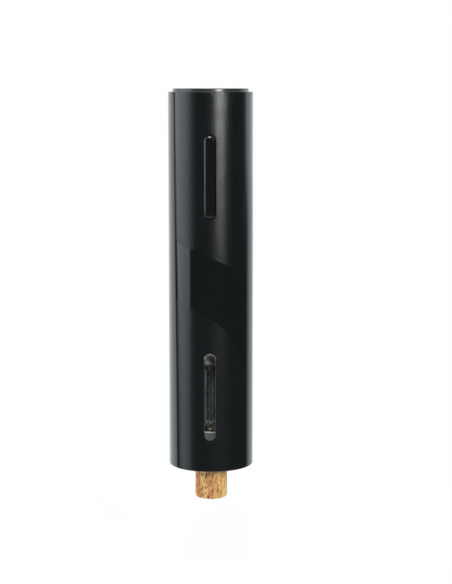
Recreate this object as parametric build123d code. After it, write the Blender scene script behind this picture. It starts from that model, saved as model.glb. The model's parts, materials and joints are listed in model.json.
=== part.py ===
from build123d import *
import os
from math import acos, cos, pi, radians, sin, tan

# An electric wine opener: a slim barrel with a rocker button, a sight window and a cork in its mouth.
# Millimetres. +Z is up and the barrel's axis is Z. The origin is on that axis, in the plane of the foot.
# The front, with the button and the window, faces -Y.

os.makedirs("parts", exist_ok=True)

# ---------------------------------------------------------------- driving dimensions

BARREL_R = 25.0
BARREL_WALL = 1.8
BARREL_BORE_R = BARREL_R - BARREL_WALL
BARREL_TOP = 221.8
CAP_R = 22.25
CAP_TOP = 223.6
SLIP = 0.1  # gap between pieces that are pushed together and do not move

# the two pill-shaped openings in the front of the barrel
SLOT_WIDTH = 7.0
WINDOW_MID = 44.55
WINDOW_LENGTH = 51.5
BUTTON_MID = 173.0
BUTTON_SLOT_LENGTH = 48.8
SLOT_BREAK = 0.2  # the broken outer edges of every opening
BUTTON_GAP = 0.3
BUTTON_CROWN = 1.2
GASKET_WALL = 0.35

# the mouth, where a bottle neck goes
NECK_R = 15.5
NECK_DEPTH = 19.6
FOOT_RING_TOP = 21.6
CUSHION_BORE_R = 10.3

# the cork and the chamber that it is drawn up into
CORK_R = 9.6
CORK_BOTTOM = -20.5
CORK_TOP = 23.5
CHAMBER_R = 11.2
CHAMBER_WALL = 1.4
CHAMBER_TOP = 62.7
RIB_TIP_R = CORK_R + 0.3
REEDS = 52
REED_HEIGHT = 0.2

# the screw drive: worm, cross pin and the helical groove all share one lead
LEAD = 9.5
TRAVEL = 38.0
WORM_R = 3.4
WIRE_R = 1.4
WORM_TIP = 25.3
WORM_TIP_ANGLE = -150.0
WORM_COLLAR = (96.0, 101.0)
CARRIAGE = (101.0, 113.0)
CARRIAGE_R = 9.1
PIN_R = 1.25
PIN_Z = 107.0
PIN_REACH = 13.2
TRACK_WIDTH = 2 * PIN_R + 0.4
TRACK_R = 13.7
DRIVE_TUBE = (63.9, 116.6)
DRIVE_TUBE_R = (9.4, 11.7)
GUIDE_BORE_R = 12.2
GUIDE_R = 15.2
GUIDE_TOP = 117.0

# three planetary stages of 12, 18 and 48 teeth
MODULE = 0.5
SUN_TEETH = 12
PLANET_TEETH = 18
RING_TEETH = 48
ADDENDUM = 0.4
DEDENDUM = 0.45
TOOTH_THINNING = 0.04
PRESSURE_ANGLE = radians(20)
PLANET_ORBIT = MODULE * (SUN_TEETH + PLANET_TEETH) / 2
PLANET_PIN_R = 1.0
STAGE_PITCH = 7.0
OUTPUT_PLATE_Z = 121.9
PLATE_THICKNESS = 1.9
PLANET_HEIGHT = 4.4
GEARBOX = (121.5, 143.5)
FLANGE_R = 18.0
BOLT_CIRCLE_R = 16.6

# the motor
MOTOR_PLATE = (143.5, 145.5)
MOTOR_R = 12.2
MOTOR = (145.5, 172.5)
SHAFT_R = 1.15
PRESS = 0.01  # what is left between a shaft and the pieces pressed on it
CORE = (150.5, 164.5)
COIL_CIRCLE_R = 6.2
COIL_R = 1.6
MOTOR_SCREW_CIRCLE_R = 8.0

# the electrics
CELL_R = 9.15
CELL_X = 9.3
CELL_Y = 3.0
CELLS = (180.2, 214.5)
BOARD = dict(half_width=11.5, front=-15.8, back=-14.2, bottom=147.0, top=208.0)
BOARD_SCREW_Z = (150.0, 205.0)
SWITCH_ARM = 14.5
PIVOT_Y = -19.6
USB_Z = 203.0
LED_Z = 209.0
CHARGE_BOARD_Y = (14.6, 15.8)

# the inner frame, in two halves
CHASSIS_R = (20.8, 22.4)
CHASSIS = (23.2, 214.0)


# ---------------------------------------------------------------- shapes used again and again

def disc(radius, z0, z1):
    """A cylinder about the barrel's axis, between two heights."""
    return Pos(0, 0, z0) * Cylinder(radius, z1 - z0, align=(Align.CENTER, Align.CENTER, Align.MIN))


def tube(outer_r, inner_r, z0, z1):
    """A tube about the barrel's axis, between two heights."""
    return disc(outer_r, z0, z1) - disc(inner_r, z0 - 1, z1 + 1)


def turned(*corners):
    """A solid of revolution about the barrel's axis, from (radius, height) corners."""
    return revolve(Plane.XZ * Polygon(*corners, align=None), Axis.Z)


def block(x0, x1, y0, y1, z0, z1):
    """A box between two corners."""
    corner = (Align.MIN, Align.MIN, Align.MIN)
    return Pos(x0, y0, z0) * Box(x1 - x0, y1 - y0, z1 - z0, align=corner)


def rod_x(radius, x0, x1, y, z):
    """A cylinder that runs along X."""
    return Pos((x0 + x1) / 2, y, z) * Rot(0, 90, 0) * Cylinder(radius, x1 - x0)


def rod_y(radius, y0, y1, x, z):
    """A cylinder that runs along Y."""
    return Pos(x, (y0 + y1) / 2, z) * Rot(90, 0, 0) * Cylinder(radius, y1 - y0)


def pill(length, width, z, y0, y1, upright=True):
    """A bar of slot-shaped section that runs along Y."""
    outline = SlotOverall(length, width, rotation=90 if upright else 0)
    return extrude(Plane.XZ.offset(-y1) * Pos(0, z) * outline, y1 - y0)


def curved_pill(length, width, z, inner_r, outer_r):
    """A slot-shaped plate that follows the front of the barrel."""
    shell = tube(outer_r, inner_r, z - length, z + length)
    return shell & pill(length, width, z, -BARREL_R - 5, -inner_r / 2)


def around(shape, count, start=0.0):
    """Copies of one shape, evenly spaced about the barrel's axis."""
    return [Rot(0, 0, start + 360 * i / count) * shape for i in range(count)]


def rims(solid, radius, z):
    """The round edges of one radius at one height."""
    round_edges = solid.edges().filter_by(GeomType.CIRCLE)
    return [e for e in round_edges if abs(e.radius - radius) < 0.01 and abs(e.center().Z - z) < 0.01]


def helix_path(radius, z0, z1, angle_at, anchor_z):
    """A right-handed helix of the drive's lead that passes angle_at degrees at the height anchor_z."""
    start = angle_at + 360 * (z0 - anchor_z) / LEAD
    return Pos(0, 0, z0) * Rot(0, 0, start) * Helix(LEAD, z1 - z0, radius)


def round_thread(radius, wire_r, z0, z1, angle_at, anchor_z):
    """A round wire wound on the drive's helix."""
    path = helix_path(radius, z0, z1, angle_at, anchor_z)
    section = Plane(path @ 0, z_dir=path % 0) * Circle(wire_r)
    return sweep(section, path=path, is_frenet=True)


def wire_run(radius, bend_r, *points):
    """A round wire along straight runs joined by tangent bends."""
    path = FilletPolyline(*points, radius=bend_r) if len(points) > 2 else Line(*points)
    return sweep(Plane(path @ 0, z_dir=path % 0) * Circle(radius), path=path)


# ---------------------------------------------------------------- the barrel and its trim

def barrel_shell():
    """The drawn tube that is the whole outside, with a narrow lip round its top."""
    lip_bore = CAP_R + SLIP
    lip_under = BARREL_TOP - 1.8
    shell = turned(
        (BARREL_BORE_R, 0),
        (BARREL_R, 0),
        (BARREL_R, BARREL_TOP),
        (lip_bore, BARREL_TOP),
        (lip_bore, lip_under),
        (BARREL_BORE_R, lip_under),
    )
    shell = fillet(rims(shell, BARREL_R, 0), 0.8)
    shell = chamfer(rims(shell, BARREL_R, BARREL_TOP), 0.5)
    shell -= pill(WINDOW_LENGTH, SLOT_WIDTH, WINDOW_MID, -30, -15)
    shell -= pill(BUTTON_SLOT_LENGTH, SLOT_WIDTH, BUTTON_MID, -30, -15)
    shell -= pill(9.6, 3.9, USB_Z, 15, 30, upright=False)
    shell -= rod_y(1.1, 15, 30, 0, LED_Z)
    outside = shell.faces().filter_by(GeomType.CYLINDER).sort_by(SortBy.AREA)[-1]
    openings = [edge for wire in outside.inner_wires() for edge in wire.edges()]
    return chamfer(openings, SLOT_BREAK)


def top_cap():
    """The disc that closes the top, held by a flange under the barrel's lip."""
    under_lip = BARREL_TOP - 1.8 - SLIP
    cap = turned(
        (0, under_lip - 1.8),
        (BARREL_BORE_R - SLIP, under_lip - 1.8),
        (BARREL_BORE_R - SLIP, under_lip),
        (CAP_R, under_lip),
        (CAP_R, CAP_TOP),
        (0, CAP_TOP),
    )
    return fillet(rims(cap, CAP_R, CAP_TOP), 0.5)


def foot_ring():
    """The moulded mouth: a socket for the bottle neck, ribbed out to the barrel."""
    outer = BARREL_BORE_R - SLIP
    neck_wall = NECK_R + 1.8
    ring = turned(
        (NECK_R + 1.5, 0),
        (outer, 0),
        (outer, 14),
        (outer - 1.6, 14),
        (outer - 1.6, 2),
        (neck_wall, 2),
        (neck_wall, FOOT_RING_TOP),
        (NECK_R, FOOT_RING_TOP),
        (NECK_R, 1.5),
    )
    rib = block(neck_wall - 0.2, outer - 1.4, -0.6, 0.6, 1.5, 13)
    for one in around(rib, 12, start=15):
        ring += one
    return ring


def lip_cushion():
    """The soft washer that the bottle's lip presses on."""
    outer = NECK_R - SLIP
    return turned(
        (CUSHION_BORE_R, NECK_DEPTH + 0.5),
        (CUSHION_BORE_R + 0.5, NECK_DEPTH),
        (outer, NECK_DEPTH),
        (outer, FOOT_RING_TOP),
        (CUSHION_BORE_R + 0.5, FOOT_RING_TOP),
        (CUSHION_BORE_R, FOOT_RING_TOP - 0.5),
    )


def window_gasket():
    """The thin rim that lines the sight window."""
    length, width = WINDOW_LENGTH - SLIP, SLOT_WIDTH - SLIP
    outside = curved_pill(length, width, WINDOW_MID, BARREL_BORE_R + 0.05, BARREL_R - 0.4)
    return outside - pill(length - 2 * GASKET_WALL, width - 2 * GASKET_WALL, WINDOW_MID, -30, -10)


def window_lens():
    """The clear pane, stepped so that its flange bears on the inside of the barrel."""
    trim = 2 * GASKET_WALL + 2 * SLIP
    overlap = 3.2
    pane = curved_pill(WINDOW_LENGTH - trim, SLOT_WIDTH - trim, WINDOW_MID,
                       BARREL_BORE_R - 0.4, BARREL_R - 0.6)
    flange = curved_pill(WINDOW_LENGTH + overlap, SLOT_WIDTH + overlap, WINDOW_MID,
                         BARREL_BORE_R - 1.3, BARREL_BORE_R - SLIP)
    return pane + flange


# ---------------------------------------------------------------- the cork and its chamber

def cork():
    """A straight 44 mm cork, already bored by the worm's helical path."""
    body = disc(CORK_R, CORK_BOTTOM, CORK_TOP)
    body = fillet(rims(body, CORK_R, CORK_BOTTOM), 1.3)
    body = fillet(rims(body, CORK_R, CORK_TOP), 0.6)
    lowest = WORM_TIP - TRAVEL - 0.8
    return body - round_thread(WORM_R, WIRE_R + 0.25, lowest, CORK_TOP + 4, WORM_TIP_ANGLE, WORM_TIP)


def chamber_sleeve():
    """The clear tube that the cork is drawn into, with ribs that keep it from turning."""
    outer = CHAMBER_R + CHAMBER_WALL
    sleeve = turned(
        (CHAMBER_R, FOOT_RING_TOP),
        (NECK_R + 1.7, FOOT_RING_TOP),
        (NECK_R + 1.7, FOOT_RING_TOP + 1.5),
        (outer, FOOT_RING_TOP + 1.5),
        (outer, CHAMBER_TOP - 1.5),
        (GUIDE_R + 1.8, CHAMBER_TOP - 1.5),
        (GUIDE_R + 1.8, CHAMBER_TOP),
        (CHAMBER_R, CHAMBER_TOP),
    )
    root = CHAMBER_R + 0.3
    rib_outline = Polygon((root, 23.3), (RIB_TIP_R, 26.5), (RIB_TIP_R, 55), (root, 58), align=None)
    rib = extrude(Plane.XZ * rib_outline, 0.7, both=True)
    for one in around(rib, 6, start=-90):
        sleeve += one
    step = 2 * pi / REEDS
    reeded = []
    for i in range(REEDS):
        for share, radius in ((-0.3, outer - 0.05), (-0.15, outer + REED_HEIGHT),
                              (0.15, outer + REED_HEIGHT), (0.3, outer - 0.05)):
            angle = (i + share) * step
            reeded.append((radius * cos(angle), radius * sin(angle)))
    reeds = extrude(Pos(0, 0, 26) * Polygon(*reeded, align=None), 32) - disc(outer - 0.3, 20, 65)
    return sleeve + reeds


# ---------------------------------------------------------------- the screw drive

def guide_tube():
    """The fixed tube whose two helical grooves turn the cross pin's rotation into travel."""
    low_flange = CHAMBER_TOP + 2
    top_flange = GUIDE_TOP - 2
    guide = turned(
        (GUIDE_BORE_R, CHAMBER_TOP),
        (GUIDE_R + 1.8, CHAMBER_TOP),
        (GUIDE_R + 1.8, low_flange),
        (GUIDE_R, low_flange),
        (GUIDE_R, top_flange),
        (FLANGE_R, top_flange),
        (FLANGE_R, GUIDE_TOP),
        (GUIDE_BORE_R, GUIDE_TOP),
    )
    depth = TRACK_R - GUIDE_BORE_R + 0.6
    for angle in (0, 180):
        mid_r = TRACK_R - depth / 2
        path = helix_path(mid_r, PIN_Z - TRAVEL - 0.3, PIN_Z + 0.3, angle, PIN_Z)
        start = path @ 0
        section = Plane(start, x_dir=Vector(start.X, start.Y, 0), z_dir=path % 0)
        guide -= sweep(section * Rectangle(depth, TRACK_WIDTH), path=path, is_frenet=True)
    guide -= rod_x(PIN_R + 0.1, -20, 20, 0, PIN_Z)
    for hole in screw_holes(0.95, 110, 120):
        guide -= hole
    return guide


def thrust_washer():
    """The slippery washer under the drive tube."""
    return tube(GUIDE_BORE_R - 0.2, DRIVE_TUBE_R[0] + 0.4, CHAMBER_TOP + 0.05, CHAMBER_TOP + 1.0)


def drive_flats(clearance):
    """The output shaft's lower end, a round with two flats, grown by a clearance."""
    half = 3.2 + clearance
    return disc(4.0 + clearance, 113.3, 117.0) & block(-6, 6, -half, half, 112, 118)


def drive_tube():
    """The slotted tube that the gearbox turns. Its slots carry the cross pin round."""
    inner, outer = DRIVE_TUBE_R
    tube_wall = tube(outer, inner, *DRIVE_TUBE)
    hub = disc(outer, DRIVE_TUBE[1] - 3.2, DRIVE_TUBE[1]) - drive_flats(0.05)
    body = tube_wall + hub
    slot_low = PIN_Z - TRAVEL - 2.5
    slot_high = PIN_Z + 2.5
    slot = SlotOverall(slot_high - slot_low, TRACK_WIDTH, rotation=90)
    cut = extrude(Plane.YZ * Pos(0, (slot_low + slot_high) / 2) * slot, 20, both=True)
    return body - cut


def worm_carrier():
    """The slider inside the drive tube that holds the worm's shank."""
    body = disc(CARRIAGE_R, *CARRIAGE)
    body = chamfer(rims(body, CARRIAGE_R, CARRIAGE[0]) + rims(body, CARRIAGE_R, CARRIAGE[1]), 0.6)
    body -= disc(2.55, CARRIAGE[0] - 1, CARRIAGE[1] - 1.5)
    body -= rod_x(PIN_R, -20, 20, 0, PIN_Z)
    for angle in (90, 270):
        body -= Rot(0, 0, angle) * block(5.5, 12, -2, 2, CARRIAGE[0] - 1, CARRIAGE[1] + 1)
    return body


def cross_pin():
    """The steel pin through the slider, the worm's shank, both slots and both grooves."""
    pin = rod_x(PIN_R, -PIN_REACH, PIN_REACH, 0, PIN_Z)
    return chamfer(pin.edges().filter_by(GeomType.CIRCLE), 0.3)


def worm():
    """The open-centred corkscrew, with a collar and a shank at its head and a tapering point."""
    full_from = WORM_TIP + 0.75 * LEAD
    coil = round_thread(WORM_R, WIRE_R, full_from, WORM_COLLAR[0] + 2.5, WORM_TIP_ANGLE, WORM_TIP)
    path = helix_path(WORM_R, WORM_TIP, full_from, WORM_TIP_ANGLE, WORM_TIP)
    sections = [
        Plane(path @ 0, z_dir=path % 0) * Circle(0.15),
        Plane(path @ 1, z_dir=path % 1) * Circle(WIRE_R),
    ]
    point = sweep(sections, path=path, multisection=True, is_frenet=True)
    collar = disc(WORM_R + WIRE_R + 0.1, *WORM_COLLAR)
    shank = disc(2.5, WORM_COLLAR[1], CARRIAGE[1] - 2)
    head = chamfer(rims(collar, WORM_R + WIRE_R + 0.1, WORM_COLLAR[0]), 0.5) + shank
    head -= rod_x(PIN_R, -10, 10, 0, PIN_Z)
    return coil + point + head


# ---------------------------------------------------------------- the gearbox

def half_tooth_angle(radius, teeth, thinning):
    """Half the angle that an involute tooth fills at a radius."""
    pitch_r = MODULE * teeth / 2
    base_r = pitch_r * cos(PRESSURE_ANGLE)
    alpha = acos(base_r / max(radius, base_r))
    spread = (tan(PRESSURE_ANGLE) - PRESSURE_ANGLE) - (tan(alpha) - alpha)
    return pi / (2 * teeth) - thinning / pitch_r + spread


def toothed_face(teeth, root_r, tip_r, thinning):
    """The face inside a toothed outline, with one tooth centred on +X."""
    def at(radius, angle):
        return (radius * cos(angle), radius * sin(angle))

    mid_r = (root_r + tip_r) / 2
    root, middle, tip = (half_tooth_angle(r, teeth, thinning) for r in (root_r, mid_r, tip_r))
    pitch = 2 * pi / teeth
    edges = []
    for i in range(teeth):
        centre = i * pitch
        edges.append(ThreePointArc(
            at(root_r, centre - root), at(mid_r, centre - middle), at(tip_r, centre - tip)))
        edges.append(ThreePointArc(at(tip_r, centre - tip), at(tip_r, centre), at(tip_r, centre + tip)))
        edges.append(ThreePointArc(
            at(tip_r, centre + tip), at(mid_r, centre + middle), at(root_r, centre + root)))
        edges.append(ThreePointArc(
            at(root_r, centre + root), at(root_r, centre + pitch / 2), at(root_r, centre + pitch - root)))
    return make_face(edges)


def gear(teeth, z0, z1):
    """A spur gear about the barrel's axis."""
    pitch_r = MODULE * teeth / 2
    face = toothed_face(teeth, pitch_r - DEDENDUM, pitch_r + ADDENDUM, TOOTH_THINNING)
    return extrude(Pos(0, 0, z0) * face, z1 - z0)


def stage_base(stage):
    """The height of a stage's carrier plate. Stage 3 is the output, at the bottom."""
    return OUTPUT_PLATE_Z + STAGE_PITCH * (3 - stage) + (0.2 if stage < 3 else 0)


def planet(stage, index):
    """One planet gear, in mesh at rest with the sun and the ring."""
    low = stage_base(stage) + 2.3
    wheel = Rot(0, 0, 180 / PLANET_TEETH) * gear(PLANET_TEETH, low, low + PLANET_HEIGHT)
    wheel -= disc(PLANET_PIN_R + 0.06, low - 1, low + 10)
    return Rot(0, 0, 120 * index) * Pos(PLANET_ORBIT, 0, 0) * wheel


def carrier(stage):
    """A round plate with three pins. The next stage's sun gear, or the output shaft, is under it."""
    low = stage_base(stage)
    plate = disc(10.9, low, low + PLATE_THICKNESS)
    pin = Pos(PLANET_ORBIT, 0, 0) * disc(PLANET_PIN_R, low + 1.5, low + 6.8)
    for one in around(pin, 3):
        plate += one
    if stage < 3:
        return plate + gear(SUN_TEETH, low - 4.7, low + 0.1)
    shaft = disc(4.0, 116.9, low + 0.1) + drive_flats(0)
    return plate + shaft


def screw_holes(radius, z0, z1):
    """The gearbox's four long screw holes."""
    return around(Pos(BOLT_CIRCLE_R, 0, 0) * disc(radius, z0, z1), 4, start=45)


def ring_gear():
    """The gearbox's body, toothed inside for all three stages and flanged at both ends."""
    low, high = GEARBOX
    body = disc(GUIDE_R, low, high) + disc(FLANGE_R, low, low + 2) + disc(FLANGE_R, high - 2, high)
    pitch_r = MODULE * RING_TEETH / 2
    gaps = toothed_face(RING_TEETH, pitch_r - ADDENDUM, pitch_r + DEDENDUM, -TOOTH_THINNING)
    body -= extrude(Pos(0, 0, low - 1) * Rot(0, 0, 180 / RING_TEETH) * gaps, high - low + 2)
    for hole in screw_holes(1.1, low - 1, high + 1):
        body -= hole
    return body


def gearbox_base():
    """The plate under the gears, which seats the output bearing."""
    base = tube(FLANGE_R, 6.0, GUIDE_TOP, GEARBOX[0])
    for hole in screw_holes(1.1, GUIDE_TOP - 1, GEARBOX[0] + 1):
        base -= hole
    return base


def output_bearing():
    """The sintered bush that the output shaft turns in."""
    return tube(5.95, 4.05, GUIDE_TOP + 0.1, GEARBOX[0])


def motor_plate():
    """The plate over the gears, which the motor is screwed to."""
    plate = tube(FLANGE_R, 3.95, *MOTOR_PLATE)
    for hole in screw_holes(1.1, MOTOR_PLATE[0] - 1, MOTOR_PLATE[1] + 1):
        plate -= hole
    for screw in motor_screw_set(0.1):
        plate -= screw
    return plate


def motor_screw_set(clearance=0.0):
    """Two countersunk screws, up through the motor plate into the motor's face."""
    low = MOTOR_PLATE[0]
    shape = turned(
        (0, low - clearance),
        (2.3 + clearance, low - clearance),
        (2.3 + clearance, low + 0.2),
        (1.2 + clearance, low + 1.3),
        (1.2 + clearance, MOTOR[0] + 1.0),
        (0, MOTOR[0] + 1.0),
    )
    return around(Pos(MOTOR_SCREW_CIRCLE_R, 0, 0) * shape, 2, start=90)


def motor_screws():
    """The two motor screws, each with a cross recess."""
    low = MOTOR_PLATE[0]
    mid = MOTOR_SCREW_CIRCLE_R
    cross = block(mid - 1.4, mid + 1.4, -0.3, 0.3, low - 1, low + 0.9)
    cross += block(mid - 0.3, mid + 0.3, -1.4, 1.4, low - 1, low + 0.9)
    return [screw - Rot(0, 0, 90 + 180 * i) * cross for i, screw in enumerate(motor_screw_set())]


def gearbox_screws():
    """Four long screws that clamp the motor plate, ring gear, base and guide tube together."""
    head = turned((0, 145.5), (1.9, 145.5), (1.9, 146.6), (1.3, 147.0), (0, 147.0))
    body = head + disc(0.95, GUIDE_TOP - 1.9, 146)
    body -= block(-1.3, 1.3, -0.25, 0.25, 146.2, 148)
    return around(Pos(BOLT_CIRCLE_R, 0, 0) * body, 4, start=45)


# ---------------------------------------------------------------- the motor

def motor_can():
    """The drawn steel can, with a boss on its face and two threaded holes."""
    low, high = MOTOR
    can = turned(
        (2.6, low - 1.3),
        (3.8, low - 1.3),
        (3.8, low),
        (MOTOR_R, low),
        (MOTOR_R, high),
        (MOTOR_R - 0.7, high),
        (MOTOR_R - 0.7, low + 1.2),
        (2.6, low + 1.2),
    )
    for hole in around(Pos(MOTOR_SCREW_CIRCLE_R, 0, 0) * disc(1.25, low - 1, low + 3), 2, start=90):
        can -= hole
    return can


def motor_bushes():
    """The two sintered bushes that the motor's shaft turns in."""
    return [
        tube(2.55, SHAFT_R + 0.04, MOTOR[0] - 1.2, MOTOR[0] + 1.4),
        tube(2.55, SHAFT_R + 0.04, 171.6, 173.9),
    ]


def motor_magnets():
    """Two curved magnets inside the can."""
    ring = tube(MOTOR_R - 0.75, 9.7, 149, 166.5)
    return [ring & (Rot(0, 0, a) * wedge(140, 148, 168)) for a in (90, 270)]


def wedge(angle, z0, z1):
    """A sector of a big disc, centred on +X. It is narrower than a half turn."""
    reach = 40
    side = reach * tan(radians(angle / 2))
    outline = Polygon((0, 0), (reach, -side), (reach, side), align=None)
    return extrude(Pos(0, 0, z0) * outline, z1 - z0)


def motor_end_cap():
    """The moulded cap that closes the can and holds the brushes and one bush."""
    cap = turned(
        (2.6, 171.5),
        (9.6, 171.5),
        (9.6, 167.8),
        (MOTOR_R - 0.75, 167.8),
        (MOTOR_R - 0.75, 172.55),
        (MOTOR_R - 0.1, 172.55),
        (MOTOR_R - 0.1, 173.6),
        (2.6, 174.0),
    )
    for side in (-1, 1):
        cap -= block(*sorted((side * 6.7, side * 7.6)), -1.4, 1.4, 165, 180)
    return cap


def motor_brushes():
    """Two carbon brushes on brass arms, which end as the motor's terminals."""
    pair = []
    for side in (-1, 1):
        carbon = block(*sorted((side * 3.3, side * 5.4)), -1.5, 1.5, 168.2, 171.0)
        arm = block(*sorted((side * 5.2, side * 7.3)), -1.2, 1.2, 169.2, 169.8)
        tab = block(*sorted((side * 6.8, side * 7.5)), -1.2, 1.2, 169.2, 177.0)
        pair.append(carbon + arm + tab)
    return pair


def motor_shaft():
    """The steel shaft through the whole motor."""
    shaft = disc(SHAFT_R, 138.6, 174.6)
    return chamfer(rims(shaft, SHAFT_R, 138.6) + rims(shaft, SHAFT_R, 174.6), 0.25)


def armature_core():
    """The stack of laminations, with five slots. A slot is a round pocket with a narrow mouth."""
    low, high = CORE
    core = tube(9.3, SHAFT_R + PRESS, low, high)
    slot = Pos(COIL_CIRCLE_R, 0, 0) * disc(COIL_R + 0.15, low - 1, high + 1)
    slot += block(COIL_CIRCLE_R, 12, -0.5, 0.5, low - 1, high + 1)
    for one in around(slot, 5):
        core -= one
    return core


def armature_windings():
    """The copper: a bundle in every slot, joined by a rounded ring at each end."""
    low, high = CORE
    coil = turned((3.2, low - 2.6), (7.6, low - 2.6), (8.4, low - 1.7),
                  (8.4, low - 0.1), (3.2, low - 0.1))
    coil += turned((3.2, high + 0.1), (8.4, high + 0.1), (8.4, high + 1.7),
                   (7.6, high + 2.6), (3.2, high + 2.6))
    for bundle in around(Pos(COIL_CIRCLE_R, 0, 0) * disc(COIL_R, low - 0.5, high + 0.5), 5):
        coil += bundle
    return coil


def commutator():
    """The copper drum that the brushes rub on, cut into five bars."""
    drum = tube(3.2, SHAFT_R + PRESS, 167.6, 171.3) + tube(3.8, SHAFT_R + PRESS, 167.3, 168.0)
    for cut in around(block(2.6, 5, -0.15, 0.15, 168.0, 172), 5):
        drum -= cut
    return drum


def motor_pinion():
    """The first sun gear, pressed on the motor's shaft."""
    return gear(SUN_TEETH, 138.4, 143.9) - disc(SHAFT_R + PRESS, 130, 150)


# ---------------------------------------------------------------- the power and control electrics

def battery_cells():
    """Two lithium cells side by side, one of them head down."""
    low, high = CELLS
    body = turned((0, low), (CELL_R - 0.3, low), (CELL_R, low + 0.3), (CELL_R, high - 0.8),
                  (CELL_R - 0.3, high - 0.5), (3.0, high - 0.5), (3.0, high), (0, high))
    upright = Pos(CELL_X, CELL_Y, 0) * body
    turned_over = Pos(-CELL_X, CELL_Y, low + high) * Rot(180, 0, 0) * body
    return [upright, turned_over]


def battery_holder():
    """The tray, spine and top plate that keep the cells and the charging board in place."""
    plate_outline = block(-40, 40, -9.5, 14.4, 170, 220)
    tray = disc(20.4, 178.2, 179.6) & plate_outline
    roof = disc(20.4, 215.0, 216.4) & plate_outline
    spine = block(-3, 3, 10.6, 14.4, 178.2, 216.4)
    holder = tray + roof + spine
    for side in (-1, 1):
        holder += block(*sorted((side * 3, side * 6.5)), 12.8, 14.4, 196, 210)
        cup = Pos(side * CELL_X, CELL_Y, 0) * tube(CELL_R + 1.2, CELL_R + 0.25, 179.2, 184)
        holder += cup & disc(20.4, 170, 190) & block(-40, 40, -20, 12.8, 170, 190)
    for side in (-1, 1):
        holder -= Pos(side * CELL_X, CELL_Y, 0) * disc(CELL_R + 0.25, 179.65, 214.9)
    return holder - block(-13.2, 13.2, CELL_Y - 3.2, CELL_Y + 3.2, 179.65, CELLS[0])


def cell_strips():
    """Nickel strips: one joins the cells in series, two bring out the ends."""
    low, high = CELLS
    strips = [block(-13, 13, CELL_Y - 3, CELL_Y + 3, low - 0.25, low - 0.05)]
    for side in (-1, 1):
        strips.append(block(*sorted((side * 3.5, side * 12)), -6.5, 6, high + 0.05, high + 0.25))
    return strips


def control_board():
    """The circuit board behind the button."""
    b = BOARD
    board = block(-b["half_width"], b["half_width"], b["front"], b["back"], b["bottom"], b["top"])
    upright = board.edges().filter_by(Axis.Y)
    board = fillet(upright, 1.0)
    for x, z in board_screw_places():
        board -= rod_y(1.1, -20, -10, x, z)
    return board


def board_screw_places():
    """Where the board's four screws go, as (x, z)."""
    return [(x, z) for x in (-9.4, 9.4) for z in BOARD_SCREW_Z]


def board_screws():
    """Four pan-head screws that hold the board to the frame."""
    screws = []
    for x, z in board_screw_places():
        head = rod_y(1.8, -16.9, -15.85, x, z)
        head = fillet(head.edges().filter_by(GeomType.CIRCLE).sort_by(Axis.Y)[0], 0.4)
        shank = rod_y(0.85, -16, -11.9, x, z)
        recess = block(x - 1.1, x + 1.1, -17.5, -16.4, z - 0.25, z + 0.25)
        recess += block(x - 0.25, x + 0.25, -17.5, -16.4, z - 1.1, z + 1.1)
        screws.append(head + shank - recess)
    return screws


def board_chips():
    """The controller, two power transistors and the small parts round them."""
    chips = []
    for x, z, width, height, depth in (
        (-5.5, 200.0, 5.0, 5.0, 0.9),
        (4.5, 199.0, 6.0, 4.8, 1.4),
        (-6.5, 157.5, 5.0, 6.0, 1.3),
        (2.5, 151.5, 5.0, 6.0, 1.3),
        (8.2, 165.0, 2.0, 3.2, 0.8),
        (-8.2, 165.0, 2.0, 3.2, 0.8),
        (8.2, 181.0, 2.0, 1.2, 0.6),
        (-8.2, 181.0, 2.0, 1.2, 0.6),
    ):
        front = BOARD["front"] - 0.05
        chips.append(block(x - width / 2, x + width / 2, front - depth, front,
                           z - height / 2, z + height / 2))
    return chips


def tact_switches():
    """The two small switches under the ends of the rocker, one for down and one for up."""
    switches = []
    for arm in (-SWITCH_ARM, SWITCH_ARM):
        z = BUTTON_MID + arm
        case = block(-3, 3, -19.2, BOARD["front"] - 0.05, z - 3, z + 3)
        plunger = rod_y(1.6, -19.85, -19.0, 0, z)
        switches.append(case + plunger)
    return switches


def button_rocker():
    """The long rocker: a convex bar in the slot, a hidden flange, a hub and two pads."""
    trim = 2 * BUTTON_GAP
    end_room = 0.8  # the ends swing, so the bar is a little shorter than its slot
    bar = curved_pill(BUTTON_SLOT_LENGTH - trim - end_room, SLOT_WIDTH - trim, BUTTON_MID, 21.6, BARREL_R)
    crown = bar.faces().filter_by(GeomType.CYLINDER).sort_by(Axis.Y)[0]
    bar = fillet(crown.edges(), BUTTON_CROWN)
    flange = curved_pill(BUTTON_SLOT_LENGTH + 2.8, SLOT_WIDTH + 2.6, BUTTON_MID, 21.0, 22.3)
    rocker = bar + flange
    hub = rod_x(1.9, -4.8, 4.8, PIVOT_Y, BUTTON_MID)
    web = block(-4.8, 4.8, -21.4, PIVOT_Y, BUTTON_MID - 1.9, BUTTON_MID + 1.9) & disc(21.5, 100, 200)
    rocker += hub + web
    for arm in (-SWITCH_ARM, SWITCH_ARM):
        z = BUTTON_MID + arm
        rocker += block(-1.6, 1.6, -21.5, -20.3, z - 1.6, z + 1.6)
    return rocker - rod_x(0.95, -10, 10, PIVOT_Y, BUTTON_MID)


def button_pin():
    """The rocker's pivot."""
    return rod_x(0.9, -6.7, 6.7, PIVOT_Y, BUTTON_MID)


def button_bracket():
    """The fork on the board that carries the rocker's pivot."""
    bracket = block(-7.2, 7.2, -17.0, BOARD["front"] - 0.05, BUTTON_MID - 4, BUTTON_MID + 4)
    for side in (-1, 1):
        x0, x1 = sorted((side * 5.3, side * 6.7))
        bracket += block(x0, x1, PIVOT_Y, -16.9, BUTTON_MID - 2.0, BUTTON_MID + 2.0)
        bracket += rod_x(1.6, x0, x1, PIVOT_Y, BUTTON_MID)
    return bracket - rod_x(0.92, -10, 10, PIVOT_Y, BUTTON_MID)


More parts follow.
